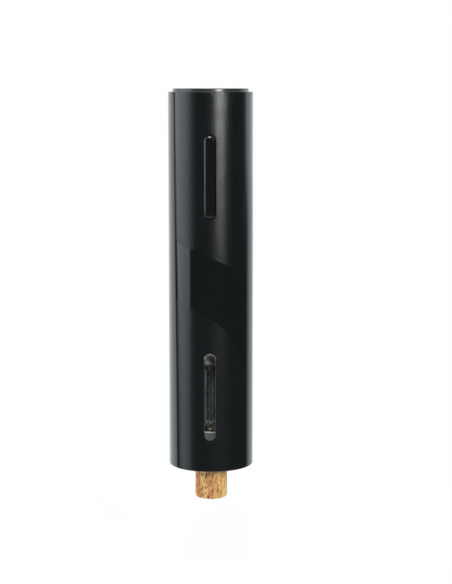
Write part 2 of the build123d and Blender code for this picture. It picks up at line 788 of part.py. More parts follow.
def charge_board():
    """The small upright board behind the charging port."""
    board = block(-8, 8, *CHARGE_BOARD_Y, 193, 213)
    return fillet(board.edges().filter_by(Axis.Y), 1.0)


def usb_port():
    """The charging receptacle: a rounded steel shell round a thin tongue."""
    back, mouth = CHARGE_BOARD_Y[1] + 0.05, 22.9
    shell = pill(8.94, 3.26, USB_Z, back, mouth, upright=False)
    shell -= pill(8.34, 2.66, USB_Z, back + 1.2, mouth + 1, upright=False)
    tongue = block(-3.35, 3.35, back + 1.0, mouth - 1.4, USB_Z - 0.35, USB_Z + 0.35)
    return shell + tongue


def status_led():
    """The light pipe that brings the charging light to the surface."""
    return rod_y(1.0, CHARGE_BOARD_Y[1] + 0.05, 24.8, 0, LED_Z)


def motor_leads():
    """Two insulated leads from the board to the motor's terminals."""
    height = 175.4
    leads = []
    for side in (-1, 1):
        start = (side * 4.0, BOARD["back"] + 0.05, height)
        corners = (side * 4.0, -9.6, height), (side * 7.1, -5.6, height)
        end = (side * 7.1, -1.25, height)
        leads.append(wire_run(0.6, 2.5, start, *corners, end))
    return leads


def battery_leads():
    """Two insulated leads from the cells' strips to the board."""
    top = CELLS[1] + 0.15
    leads = []
    for side in (-1, 1):
        x = side * 5.5
        start = (x, -6.55, top - 0.6)
        corners = (x, -11.2, top - 0.6), (x, -11.2, BOARD_SCREW_Z[1])
        end = (x, BOARD["back"] + 0.05, BOARD_SCREW_Z[1])
        leads.append(wire_run(0.7, 2.2, start, *corners, end))
    return leads


# ---------------------------------------------------------------- the inner frame

def chassis_screw_places():
    """Where the frame's screws go, as (y, z)."""
    return [(17.9, 42.0), (17.9, 90.0), (17.9, 160.0), (-17.9, 90.0), (-17.9, 130.0)]


def chassis_whole():
    """The frame before it is split: a thin tube with shelves for everything that it holds."""
    inner, outer = CHASSIS_R
    frame = tube(outer, inner, *CHASSIS)
    for z0, z1, bore in (
        (CHASSIS[0], CHASSIS[0] + 1.8, 12.8),
        (59.2, 61.1, 12.8),
        (64.8, 66.8, GUIDE_R + 0.2),
        (112.9, 114.9, GUIDE_R + 0.2),
        (147.2, 149.0, MOTOR_R + 0.2),
        (176.3, 178.1, 13.0),
    ):
        frame += tube(inner + 0.5, bore, z0, z1)
    for z in (30, 75, 120, 190):
        frame += tube(BARREL_BORE_R - SLIP, outer - 0.3, z, z + 1.5)
    for y, z in chassis_screw_places():
        frame += rod_x(2.4, -6, 6, y, z)
    for side in (-1, 1):
        for z in BOARD_SCREW_Z:
            x0, x1 = sorted((side * 7.6, side * 17.0))
            frame += block(x0, x1, BOARD["back"] + 0.02, -11.9, z - 2.4, z + 2.4)
    frame -= block(-6.4, 6.4, -30, -12.7, 10, 74)
    frame -= block(-12.6, 12.6, -30, BOARD["back"], 142, 220)
    frame -= block(-10, 10, CHARGE_BOARD_Y[0] - 1.0, 30, 191, 220)
    for x, z in board_screw_places():
        frame -= rod_y(0.85, -20, -10, x, z)
    return frame


def chassis_half(side):
    """One half of the frame. The screws' heads are in the right half, their threads in the left."""
    x0, x1 = sorted((side * 0.05, side * 40))
    half = chassis_whole() & block(x0, x1, -40, 40, 0, 230)
    for y, z in chassis_screw_places():
        half -= rod_x(1.0, -8, 8, y, z)
        half -= rod_x(2.0, 4.0, 14, y, z)
    return half


def chassis_screws():
    """The screws that join the frame's halves."""
    screws = []
    for y, z in chassis_screw_places():
        head = rod_x(1.9, 4.05, 5.2, y, z)
        shank = rod_x(0.95, -4.5, 4.2, y, z)
        recess = block(4.7, 6, y - 1.2, y + 1.2, z - 0.25, z + 0.25)
        recess += block(4.7, 6, y - 0.25, y + 0.25, z - 1.2, z + 1.2)
        screws.append(head + shank - recess)
    return screws


# ---------------------------------------------------------------- every piece, by name

PIECES = {
    "barrel_shell": barrel_shell,
    "top_cap": top_cap,
    "foot_ring": foot_ring,
    "lip_cushion": lip_cushion,
    "window_gasket": window_gasket,
    "window_lens": window_lens,
    "cork": cork,
    "chamber_sleeve": chamber_sleeve,
    "guide_tube": guide_tube,
    "thrust_washer": thrust_washer,
    "drive_tube": drive_tube,
    "worm_carrier": worm_carrier,
    "cross_pin": cross_pin,
    "worm": worm,
    "gearbox_base": gearbox_base,
    "output_bearing": output_bearing,
    "ring_gear": ring_gear,
    "motor_plate": motor_plate,
    "gearbox_screws": gearbox_screws,
    "motor_screws": motor_screws,
    "motor_can": motor_can,
    "motor_bushes": motor_bushes,
    "motor_magnets": motor_magnets,
    "motor_end_cap": motor_end_cap,
    "motor_brushes": motor_brushes,
    "motor_shaft": motor_shaft,
    "armature_core": armature_core,
    "armature_windings": armature_windings,
    "commutator": commutator,
    "motor_pinion": motor_pinion,
    "battery_cells": battery_cells,
    "battery_holder": battery_holder,
    "cell_strips": cell_strips,
    "control_board": control_board,
    "board_chips": board_chips,
    "board_screws": board_screws,
    "tact_switches": tact_switches,
    "button_rocker": button_rocker,
    "button_pin": button_pin,
    "button_bracket": button_bracket,
    "charge_board": charge_board,
    "usb_port": usb_port,
    "status_led": status_led,
    "motor_leads": motor_leads,
    "battery_leads": battery_leads,
    "chassis_left": lambda: chassis_half(-1),
    "chassis_right": lambda: chassis_half(1),
    "chassis_screws": chassis_screws,
    "stage_1_carrier": lambda: carrier(1),
    "stage_2_carrier": lambda: carrier(2),
    "output_carrier": lambda: carrier(3),
}


def planet_piece(stage, index):
    """A function that makes one planet, for the table of pieces."""
    return lambda: planet(stage, index)


for stage in (1, 2, 3):
    for index, letter in enumerate("abc"):
        PIECES[f"stage_{stage}_planet_{letter}"] = planet_piece(stage, index)

for name, make in PIECES.items():
    made = make()
    solids = made if isinstance(made, list) else [made]
    shape = solids[0].solid()
    if len(solids) > 1:
        shape = Compound(children=[Solid(s.solid().wrapped) for s in solids])
    export_step(shape, f"parts/{name}.step")
    print(f"{name}: {len(solids)} solid(s)")
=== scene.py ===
# %% [markdown]
# # An electric wine opener, dressed in Blender
# The construction comes in as a fixed frame: sixty solids, grouped in the bodies that move. Those that
# nobody sees keep their meshes and get a finish. The ones that show, such as the barrel, the button, the
# sight window, the cork and the worm, are made again here with smooth surfaces and small details.

# %% Load the frame
import json
import math

import bmesh
import bpy
from mathutils import Matrix, Vector, noise

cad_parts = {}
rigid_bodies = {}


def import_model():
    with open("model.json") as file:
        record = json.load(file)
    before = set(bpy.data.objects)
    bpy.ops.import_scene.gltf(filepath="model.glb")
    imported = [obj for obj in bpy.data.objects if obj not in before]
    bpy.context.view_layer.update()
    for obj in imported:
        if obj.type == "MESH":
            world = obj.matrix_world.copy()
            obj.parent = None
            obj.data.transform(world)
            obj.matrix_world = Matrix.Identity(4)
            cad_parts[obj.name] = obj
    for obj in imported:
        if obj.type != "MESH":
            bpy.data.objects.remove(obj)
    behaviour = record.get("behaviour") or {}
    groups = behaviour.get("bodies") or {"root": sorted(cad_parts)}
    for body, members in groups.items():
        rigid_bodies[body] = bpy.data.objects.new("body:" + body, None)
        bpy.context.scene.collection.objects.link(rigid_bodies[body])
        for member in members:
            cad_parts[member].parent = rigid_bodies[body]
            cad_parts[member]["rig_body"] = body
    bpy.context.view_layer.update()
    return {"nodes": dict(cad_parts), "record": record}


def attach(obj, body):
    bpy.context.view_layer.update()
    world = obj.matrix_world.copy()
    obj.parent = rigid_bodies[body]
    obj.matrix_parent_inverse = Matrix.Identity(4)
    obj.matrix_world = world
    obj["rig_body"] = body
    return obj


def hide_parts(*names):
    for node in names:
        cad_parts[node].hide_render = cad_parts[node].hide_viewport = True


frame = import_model()


# %% [markdown]
# ## Shader maths in Python
# A finish is a small program of nodes. It could be wired by hand, one link at a time, but then nobody can
# read it. Wrapping a socket in a class with Python's operators lets the program be written as sums, so
# `0.3 + 0.1 * grain` makes its own Math nodes.

# %% A socket that does sums
class Value:
    """A shader socket. Python's operators on it add Math nodes."""

    def __init__(self, look, socket):
        self.look, self.socket = look, socket

    def __add__(self, other):
        return self.look.maths("ADD", self, other)

    def __sub__(self, other):
        return self.look.maths("SUBTRACT", self, other)

    def __rsub__(self, other):
        return self.look.maths("SUBTRACT", other, self)

    def __mul__(self, other):
        return self.look.maths("MULTIPLY", self, other)

    __radd__ = __add__
    __rmul__ = __mul__

    def rise(self, start, end):
        """0 below start, 1 above end, and a smooth rise between them."""
        sockets = {"Value": self, "From Min": start, "From Max": end}
        return self.look.node("ShaderNodeMapRange", {"interpolation_type": "SMOOTHSTEP"}, sockets)


print("sums on sockets ready")

# %% [markdown]
# ## A finish
# `Look` holds one material, or the world. `Look.node` makes any node: its settings go in first, because
# some of them change which sockets there are, and then what the sockets hold. Every pattern is made in the
# object's own coordinates, in metres, so it stays on the piece when the piece moves.

# %% A finish that makes nodes
class Look:
    """A material, or the world, whose nodes are made from Python."""

    def __init__(self, name, world=None):
        self.material = world or bpy.data.materials.new(name)
        self.material.use_nodes = True
        self.tree = self.material.node_tree
        self.tree.nodes.clear()

    def node(self, kind, settings=None, sockets=None, out=0):
        """Any node, and the value of one of its outputs."""
        made = self.tree.nodes.new(kind)
        for key, value in (settings or {}).items():
            setattr(made, key, value)
        for key, value in (sockets or {}).items():
            if isinstance(value, Value):
                self.tree.links.new(value.socket, made.inputs[key])
            else:
                made.inputs[key].default_value = value
        return Value(self, made.outputs[out]) if made.outputs else None

    def also(self, value, out):
        """Another output of the node that a value came from."""
        return Value(self, value.socket.node.outputs[out])

    def maths(self, operation, *numbers):
        return self.node("ShaderNodeMath", {"operation": operation}, dict(enumerate(numbers)))

    def place(self):
        """Where a point is on the object, in metres."""
        return self.node("ShaderNodeTexCoord", out="Object")

    def axes(self):
        """The point's x, y and z."""
        split = self.node("ShaderNodeSeparateXYZ", sockets={0: self.place()})
        return [self.also(split, i) for i in range(3)]

    def stretched(self, x, y, z):
        """The point with each axis scaled, so that a pattern is drawn out along one of them."""
        return self.node("ShaderNodeMapping", sockets={"Vector": self.place(), "Scale": (x, y, z)})

    def grain(self, size, detail=2.0, roughness=0.5, where=None):
        """Noise from 0 to 1, with blots of a size in metres."""
        sockets = {"Scale": 1 / size, "Detail": detail, "Roughness": roughness}
        sockets["Vector"] = where or self.place()
        return self.node("ShaderNodeTexNoise", sockets=sockets)

    def mix(self, first, second, share):
        """One colour turning into another."""
        sockets = {0: share, 6: first, 7: second}
        return self.node("ShaderNodeMix", {"data_type": "RGBA"}, sockets, out=2)

    def bump(self, height, depth):
        """A surface normal from a height of 0 to 1, with its depth in metres."""
        return self.node("ShaderNodeBump", sockets={"Height": height, "Distance": depth, "Strength": 1.0})

    def principled(self, colour, roughness, normal, more=None):
        sockets = {"Base Color": colour, "Roughness": roughness, **(more or {}), "Normal": normal}
        return self.node("ShaderNodeBsdfPrincipled", sockets=sockets)

    def blend(self, share, first, second):
        """One shader turning into another."""
        return self.node("ShaderNodeMixShader", sockets={0: share, 1: first, 2: second})

    def finish(self, shader):
        """Joins a shader to the material's output."""
        self.node("ShaderNodeOutputMaterial", sockets={"Surface": shader})
        return self

    def surface(self, colour, roughness, normal, more=None):
        """A finish with one shader."""
        return self.finish(self.principled(colour, roughness, normal, more))


def rgb(red, green, blue):
    return (red, green, blue, 1.0)


print("finishes can be made")

# %% [markdown]
# ## The barrel's finish
# One skin has three textures. The top is satin with a fine leather grain, a polished band sweeps across
# the middle, and the bottom is plain satin. Their borders are clean curves, the upper one a slanting cut
# and the lower one a sweep that falls away to the right. Both are sums of the point's place round the
# barrel, so they close at the back without a seam.

# %% The barrel's black
BARREL_R = 0.025
UPPER_BORDER, UPPER_SLANT = 0.1266, -0.485  # the height in the middle, and what x adds to it
LOWER_BORDER, BORDER_EDGE = 0.0732, 0.0003
RISE_AHEAD, FALL_ACROSS, BOW, TWIST = 0.0165, 0.0344, 0.0017, 0.0184  # the lower border's sweep
POLISHED, SATIN_TOP, SATIN_BOTTOM = 0.11, 0.12, 0.15  # roughness, and what each satin texture adds to it


def barrel_black():
    look = Look("barrel_black")
    x, y, z = look.axes()
    across, ahead = x * (1 / BARREL_R), y * (-1 / BARREL_R)
    upper_border = UPPER_BORDER + UPPER_SLANT * x
    lower_border = (LOWER_BORDER + RISE_AHEAD * ahead - FALL_ACROSS * across
                    + BOW * (1 - 2 * across * across) + TWIST * across * ahead)
    top = (z - upper_border).rise(-BORDER_EDGE, BORDER_EDGE)
    bottom = (lower_border - z).rise(-BORDER_EDGE, BORDER_EDGE)
    leather = look.grain(0.0007, 2.0, 0.6)
    orange_peel = look.grain(0.0035, 2.0)
    handling = look.grain(0.016, 3.0)
    # seen at a low angle, any skin looks glossier and flatter
    glancing = look.node("ShaderNodeLayerWeight", sockets={"Blend": 0.5}, out="Facing").rise(0.22, 0.5)
    rough = (POLISHED + SATIN_TOP * top + SATIN_BOTTOM * bottom + 0.02 * handling) * (1 - 0.7 * glancing)
    height = leather * (0.002 + 0.998 * top + 0.012 * bottom) + 0.047 * orange_peel
    colour = look.mix(rgb(0.0040, 0.0056, 0.0060), rgb(0.0056, 0.0076, 0.0080), handling)
    normal = look.bump(height, 0.00013 * (1 - 0.85 * glancing))
    return look.surface(colour, rough, normal, {"IOR": 1.5})


finishes = {"barrel_black": barrel_black()}
print("made the barrel's finish")

# %% [markdown]
# ## Moulded plastics
# Most pieces are moulded plastic or metal, so two small functions cover them. Moulded plastic has a faint
# mottle, and the fine grain of a spark-eroded mould.

# %% Moulded plastics
def moulded(name, colour, roughness, mottle=0.25):
    """A plastic finish. Mottle is how far its colour strays to each side."""
    look = Look(name)
    cloud = look.grain(0.006, 3.0)
    fine = look.grain(0.0004, 2.0)
    darker = rgb(*(c * (1 - mottle) for c in colour))
    lighter = rgb(*(min(1.0, c * (1 + mottle)) for c in colour))
    tint = look.mix(darker, lighter, 0.6 * cloud + 0.4 * fine)
    return look.surface(tint, roughness - 0.05 + 0.1 * cloud, look.bump(fine, 0.00001))


plastics = {
    "cap_black": ((0.026, 0.0255, 0.0235), 0.30),
    "frame_black": ((0.012, 0.0125, 0.013), 0.55),
    "soft_black": ((0.014, 0.014, 0.0145), 0.72),
    "magnet": ((0.045, 0.045, 0.047), 0.6),
    "carbon": ((0.02, 0.02, 0.02), 0.7),
    "acetal_white": ((0.25, 0.248, 0.24), 0.4),
    "nylon_grey": ((0.16, 0.165, 0.17), 0.45),
    "cell_wrap": ((0.02, 0.07, 0.22), 0.28),
    "chip_black": ((0.018, 0.018, 0.019), 0.5),
    "switch_grey": ((0.10, 0.10, 0.105), 0.5),
    "lead_red": ((0.42, 0.02, 0.016), 0.38),
}
for name, (colour, roughness) in plastics.items():
    finishes[name] = moulded(name, colour, roughness)
print("plastics:", len(plastics))

# %% [markdown]
# ## Metals
# Metal parts are drawn, rolled, turned or stamped, and each of these leaves fine marks in one direction.
# The same noise is drawn out along that direction, and it varies the roughness as well as the colour.

# %% Metals
def metal(name, colour, roughness, stretch):
    """A finish with marks drawn out along the axis that has the small number in stretch."""
    look = Look(name)
    drawn = look.grain(0.0002, 3.0, 0.6, look.stretched(*stretch))
    cloud = look.grain(0.004, 3.0)
    darker = rgb(*(c * 0.72 for c in colour))
    tint = look.mix(darker, rgb(*colour), 0.5 * drawn + 0.5 * cloud)
    rough = roughness - 0.08 + 0.16 * drawn
    return look.surface(tint, rough, look.bump(drawn, 0.000004), {"Metallic": 1.0})


metals = {
    "bright_steel": ((0.62, 0.62, 0.63), 0.22, (1.0, 1.0, 0.06)),
    "plated_steel": ((0.56, 0.57, 0.58), 0.34, (1.0, 1.0, 0.3)),
    "lamination_steel": ((0.26, 0.26, 0.27), 0.42, (0.05, 0.05, 1.0)),
    "copper": ((0.66, 0.27, 0.12), 0.3, (0.3, 0.3, 1.0)),
    "bronze": ((0.46, 0.29, 0.13), 0.5, (1.0, 1.0, 1.0)),
    "gear_steel": ((0.40, 0.40, 0.41), 0.4, (1.0, 1.0, 0.2)),
    "nickel": ((0.70, 0.67, 0.62), 0.26, (0.06, 1.0, 1.0)),
    "port_steel": ((0.58, 0.58, 0.59), 0.26, (1.0, 0.08, 1.0)),
}
for name, (colour, roughness, stretch) in metals.items():
    finishes[name] = metal(name, colour, roughness, stretch)
print("metals:", len(metals))

# %% [markdown]
# ## The button's finish
# The button is the same black as the barrel, but polished like a piano key. A higher index of refraction
# than usual makes its reflections stronger, as a lacquer does.

# %% The button's polished black
def button_black():
    look = Look("button_black")
    swirl = look.grain(0.004, 2.0)
    dust = look.grain(0.0003, 2.0)
    colour = look.mix(rgb(0.0032, 0.0036, 0.0038), rgb(0.0055, 0.006, 0.0062), swirl)
    return look.surface(colour, 0.06 + 0.05 * dust, look.bump(swirl, 0.000006), {"IOR": 1.75})


finishes["button_black"] = button_black()
print("made the button's finish")

# %% [markdown]
# ## Clear plastic
# The pane and the sleeve behind it are real clear plastic with a faint swirl from the mould. A second, pale
# shader gives a part of each: the pane's dull frosted end, and painted highlights on the sleeve. Light that
# only casts a shadow goes nearly straight through, because otherwise the inside would be black: a lamp
# can't be seen through glass that bends light.

# %% Clear plastic with dull parts
def clear(name, tint, roughness, haze, frosted_and_highlight_share, darkest):
    """Clear plastic. A function gives the share of it that is frosted or painted highlight, and darkest is
    the darker end of that part's colour.
    """
    look = Look(name)
    flow = look.grain(0.003, 3.0, where=look.stretched(1.0, 1.0, 0.25))
    fine = look.grain(0.0002, 2.0)
    colour = look.mix(rgb(*(c * 0.93 for c in tint)), rgb(*tint), flow)
    plastic = look.principled(colour, roughness + 0.03 * fine, look.bump(flow, 0.000006),
                              {"IOR": 1.49, "Transmission Weight": 1 - haze})
    dimples = look.grain(0.0009, 3.0, 0.7)
    # the pane's frosting, and the sleeve's painted highlights, in one pale colour
    frosted_and_highlight_colour = look.mix(rgb(darkest, darkest, darkest), rgb(0.75, 0.78, 0.78), dimples.rise(0.45, 0.7))
    frosted_and_highlight = look.principled(frosted_and_highlight_colour, 0.25 + 0.2 * fine, look.bump(dimples, 0.0002))
    shader = look.blend(frosted_and_highlight_share(look, dimples), plastic, frosted_and_highlight)
    straight_through = look.node("ShaderNodeBsdfTransparent", sockets={"Color": rgb(*tint)})
    shadow = look.node("ShaderNodeLightPath", out="Is Shadow Ray")
    return look.finish(look.blend(0.9 * shadow, shader, straight_through))


print("clear plastic can be made")

# %% [markdown]
# ## The pane and the sleeve
# The pane's lower end is dimpled, to hide the socket behind it. The sleeve is reeded: pale streaks along its
# reeds and along the edge of its lower flange are painted highlights, the flange's showing as a bright level
# line.

# %% Where the pane is frosted and the sleeve has painted highlights
PANE_DIMPLED_BELOW = 0.0232
REEDS_FROM, REEDS_TO = 0.0255, 0.0608
FLANGE_HIGHLIGHT_FROM, FLANGE_HIGHLIGHT_TO = 0.0219, 0.0227
REEDS = 52


def dimpled_end(look, dimples):
    x, y, z = look.axes()
    below = 1 - z.rise(PANE_DIMPLED_BELOW, PANE_DIMPLED_BELOW + 0.0003)
    return below * (0.01 + 0.2 * dimples.rise(0.46, 0.6))


def painted_reed_highlights(look, dimples):
    x, y, z = look.axes()
    angle = look.maths("ARCTAN2", x, y * -1)
    reed_highlight_wave = look.maths("COSINE", angle * REEDS + 1.8)
    reeded = z.rise(REEDS_FROM, REEDS_FROM + 0.0007) * (1 - z.rise(REEDS_TO, REEDS_TO + 0.0003))
    # painted highlights: pale streaks along the reeds and a pale line on the lower flange's edge
    edge = z.rise(FLANGE_HIGHLIGHT_FROM, FLANGE_HIGHLIGHT_FROM + 0.0001)
    edge = edge * (1 - z.rise(FLANGE_HIGHLIGHT_TO, FLANGE_HIGHLIGHT_TO + 0.0001))
    return 0.4 * reed_highlight_wave.rise(0.75, 0.95) * reeded + 0.9 * edge


finishes["clear_pane"] = clear("clear_pane", (0.90, 0.94, 0.94), 0.02, 0.0, dimpled_end, 0.1)
finishes["clear_sleeve"] = clear("clear_sleeve", (0.86, 0.90, 0.90), 0.05, 0.02, painted_reed_highlights, 0.6)
print("made the pane's and the sleeve's finish")

# %% [markdown]
# ## The window's rim and the light pipe
# The rim is dark, but its upper arch is painted light grey as a painted highlight. The light pipe is
# milky, so that it glows evenly when its lamp is on.

# %% The rim's grey and the light pipe's white
HIGHLIGHT_ARCH_FROM = 0.0672


def rim_grey():
    look = Look("rim_grey")
    x, y, z = look.axes()
    fine = look.grain(0.0004, 2.0)
    # painted highlight: the rim's upper arch is painted light grey
    painted_highlight_arch = (z + 0.0004 * fine).rise(HIGHLIGHT_ARCH_FROM, HIGHLIGHT_ARCH_FROM + 0.0006) * look.grain(0.0012, 2.0).rise(0.36, 0.5)
    dark = look.mix(rgb(0.03, 0.032, 0.033), rgb(0.045, 0.047, 0.048), fine)
    colour = look.mix(dark, rgb(0.5, 0.53, 0.53), painted_highlight_arch)
    return look.surface(colour, 0.2 + 0.06 * fine, look.bump(fine, 0.00001))


def led_milk():
    look = Look("led_milk")
    cloud = look.grain(0.0008, 3.0)
    colour = look.mix(rgb(0.66, 0.70, 0.72), rgb(0.80, 0.83, 0.84), cloud)
    return look.surface(colour, 0.3 + 0.1 * cloud, look.bump(cloud, 0.000005))


finishes["rim_grey"] = rim_grey()
finishes["led_milk"] = led_milk()
print("made the rim's and the light pipe's finish")

# %% [markdown]
# ## The circuit boards and the worm
# The boards show their copper tracks as slightly raised, lighter lines: stretched noise with a sharp step.
# The worm has a slippery dark coat, which is bare where it is ground to a point; that bare band is painted
# near white as a painted glint.

# %% The boards' green and the worm's coat
GLINT_FROM, GLINT_TO = 0.0259, 0.0274


def board_green():
    look = Look("board_green")
    run = look.grain(0.0022, 1.0, where=look.stretched(1.0, 1.0, 0.12))
    track = run.rise(0.52, 0.54)
    weave = look.grain(0.0003, 2.0)
    colour = look.mix(rgb(0.008, 0.06, 0.025), rgb(0.018, 0.14, 0.05), 0.8 * track + 0.2 * weave)
    return look.surface(colour, 0.28 + 0.12 * weave, look.bump(track, 0.00002))


def worm_coat():
    look = Look("worm_coat")
    x, y, z = look.axes()
    # painted glint: a band of the ground bare point is painted near white
    bare_and_painted_glint = z.rise(GLINT_FROM, GLINT_FROM + 0.0002) * (1 - z.rise(GLINT_TO, GLINT_TO + 0.0003))
    speck = look.grain(0.0005, 3.0)
    coat = look.mix(rgb(0.012, 0.012, 0.013), rgb(0.022, 0.022, 0.023), speck)
    colour = look.mix(coat, rgb(0.92, 0.92, 0.9), bare_and_painted_glint)
    rough = 0.34 + 0.08 * speck - 0.12 * bare_and_painted_glint
    return look.surface(colour, rough, look.bump(speck, 0.000006), {"Metallic": 0.05 * bare_and_painted_glint})


finishes["board_green"] = board_green()
finishes["worm_coat"] = worm_coat()
print("finishes so far:", len(finishes))

# %% [markdown]
# ## Cork
# Natural cork is honey coloured and never even. Dark pores run through it as short upright streaks, and
# this one has a seam where two years' growth meet, redder and streakier on its left and smooth on its
# right. Its top is painted greyer and darker, as painted shade inside the barrel. The streaks are noise
# drawn out along Z; the pores that can be felt are dents in the mesh, and this same list of them darkens the
# finish there.

# %% The cork's finish
CORK_R = 9.6
# angle from the front in degrees, height in mm, half width, half length, depth
PORES = [
    (27, -15.0, 0.6, 2.2, 0.5), (13, -10.0, 0.3, 1.2, 0.25), (-9, -18.9, 0.75, 1.1, 0.4),
    (-36, -5.2, 0.6, 1.0, 0.3), (-16, -5.5, 0.7, 1.2, 0.35), (-24, -9.5, 0.4, 1.5, 0.3),
    (-46, -11.0, 0.35, 2.0, 0.3), (-33, -14.5, 0.4, 1.4, 0.3), (-6, -12.5, 0.3, 1.7, 0.25),
    (-55, -17.0, 0.4, 0.9, 0.3), (48, -5.5, 0.35, 1.3, 0.3), (40, -11.5, 0.25, 1.1, 0.2),
    (75, -12.0, 0.5, 1.6, 0.45), (100, -4.0, 0.35, 1.9, 0.35), (128, -15.0, 0.6, 1.1, 0.5),
    (155, -8.0, 0.3, 2.0, 0.35), (182, -13.0, 0.45, 1.0, 0.4), (205, -3.0, 0.3, 1.5, 0.3),
    (228, -16.0, 0.55, 0.9, 0.45), (250, -7.5, 0.3, 2.3, 0.35), (275, -12.5, 0.4, 1.3, 0.4),
    (15, 8.0, 0.4, 1.4, 0.35), (-28, 14.0, 0.3, 1.8, 0.3), (-10, 20.5, 0.35, 0.9, 0.3),
    (60, 16.0, 0.4, 1.6, 0.4), (140, 10.0, 0.5, 1.2, 0.4), (215, 18.0, 0.4, 1.8, 0.4),
    (290, 6.0, 0.35, 1.5, 0.35), (320, 19.0, 0.3, 1.0, 0.3),
]
SEAM = 0.0026  # how far right of the middle the two growths meet, in metres


def cork_finish():
    look = Look("cork")
    x, y, z = look.axes()
    bands = look.grain(0.0042, 2.0, 0.5, look.stretched(1.0, 1.0, 0.2))
    streaks = look.grain(0.0014, 4.0, 0.62, look.stretched(1.0, 1.0, 0.36))
    specks = look.grain(0.0008, 3.0, 0.6, look.stretched(1.0, 1.0, 0.5))
    fine = look.grain(0.0004, 3.0, 0.7, look.stretched(1.0, 1.0, 0.5))
    old_growth = 1 - (x + 0.003 * bands - SEAM).rise(-0.0012, 0.0012)
    honey = look.mix(rgb(0.58, 0.30, 0.095), rgb(0.80, 0.50, 0.17), bands.rise(0.35, 0.65))
    ruddy = look.mix(rgb(0.55, 0.25, 0.085), rgb(0.78, 0.46, 0.18), bands.rise(0.35, 0.65))
    body = look.mix(honey, ruddy, old_growth)
    body = look.mix(body, rgb(0.86, 0.62, 0.30), 0.55 * (1 - streaks).rise(0.56, 0.70))
    rust = (x - 0.0002).rise(-0.0008, 0.0002) * (1 - (x - 0.0022).rise(-0.0006, 0.0008))
    body = look.mix(body, rgb(0.42, 0.13, 0.04), 0.6 * rust * streaks.rise(0.42, 0.6))
    dark = streaks.rise(0.53, 0.62) * (0.45 + 0.25 * old_growth)
    body = look.mix(body, rgb(0.17, 0.055, 0.02), dark)
    knots = specks.rise(0.575, 0.65) * (0.7 + 0.25 * old_growth)
    body = look.mix(body, rgb(0.06, 0.022, 0.012), knots)
    # painted shade: the cork's top is darkened towards grey where it sits inside the barrel
    painted_shade_top = z.rise(0.0185, 0.0215)
    body = look.mix(body, rgb(0.17, 0.135, 0.09), 0.65 * painted_shade_top)
    pits = None
    for angle, height, wide, long_, depth in PORES:
        turn = math.radians(angle)
        centre = (CORK_R * math.sin(turn), -CORK_R * math.cos(turn), height)
        size = (wide, wide, long_)
        away = look.node("ShaderNodeMapping", sockets={
            "Vector": look.place(),
            "Location": tuple(-c / s for c, s in zip(centre, size)),
            "Scale": tuple(1000 / s for s in size)})
        length = look.node("ShaderNodeVectorMath", {"operation": "LENGTH"}, {0: away}, out="Value")
        pit = 1 - (length + 0.5 * fine).rise(0.85, 1.45)
        pits = look.maths("MAXIMUM", pits, pit) if pits else pit
    body = look.mix(body, rgb(0.055, 0.024, 0.014), 0.86 * pits)
    height = 0.5 * fine + 0.35 * streaks - 0.5 * dark - 0.6 * knots
    return look.surface(body, 0.72 + 0.15 * fine, look.bump(height, 0.00012))


finishes["cork"] = cork_finish()
print("cork finish with", len(PORES), "pores")

# %% [markdown]
# ## Giving every solid its finish
# The record says which finish each solid takes. Even a solid that is made again below gets one: the new
# piece then takes its place in the picture, with the same finish.

# %% Finishes onto the frame's solids
slot_of = {part["node"]: part["material_slot"] for part in frame["record"]["subparts"]}
body_of = {node: obj["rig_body"] for node, obj in frame["nodes"].items()}
for node, obj in frame["nodes"].items():
    obj.data.materials.clear()
    obj.data.materials.append(finishes[slot_of[node]].material)
missing = sorted(set(slot_of.values()) - set(finishes))
print("solids dressed:", len(slot_of), "finishes missing:", missing)

# %% [markdown]
# ## Making meshes
# Everything is modelled in millimetres about the barrel's axis. `settle` turns a finished bmesh into an
# object: it welds what touches, turns the faces outwards, shades it smooth with crisp edges, and shrinks
# it to metres. It also hangs it on the body that the piece rides on, and hides the solid it stands in for.

# %% Settling a mesh
MM = 0.001


def settle(bm, name, node, crisp=32.0):
    """Makes an object of a mesh. Edges that turn by more than crisp degrees stay sharp."""
    bmesh.ops.remove_doubles(bm, verts=bm.verts, dist=0.0004)
    bmesh.ops.dissolve_degenerate(bm, edges=bm.edges, dist=0.0001)
    bmesh.ops.recalc_face_normals(bm, faces=bm.faces)
    for face in bm.faces:
        face.smooth = True
    for edge in bm.edges:
        edge.smooth = len(edge.link_faces) == 2 and edge.calc_face_angle() < math.radians(crisp)
    open_edges = sum(len(edge.link_faces) != 2 for edge in bm.edges)
    bmesh.ops.scale(bm, vec=(MM, MM, MM), verts=bm.verts)
    mesh = bpy.data.meshes.new(name)
    bm.to_mesh(mesh)
    bm.free()
    mesh.materials.append(finishes[slot_of[node]].material)
    obj = bpy.data.objects.new(name, mesh)
    bpy.context.scene.collection.objects.link(obj)
    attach(obj, body_of[node])
    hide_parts(node)
    print(f"{name}: {len(mesh.polygons)} faces, {open_edges} open edges")


print("meshes can be settled")

# %% [markdown]
# ## Turned pieces
# Half of the opener's pieces are turned: an outline spun about an axis. A corner of the outline may carry
# a radius, because nothing that is moulded or machined has a perfectly sharp edge, and a rounded edge is
# what catches the light.

# %% Spinning an outline
AXIS = {"x": Vector((1, 0, 0)), "y": Vector((0, 1, 0)), "z": Vector((0, 0, 1))}


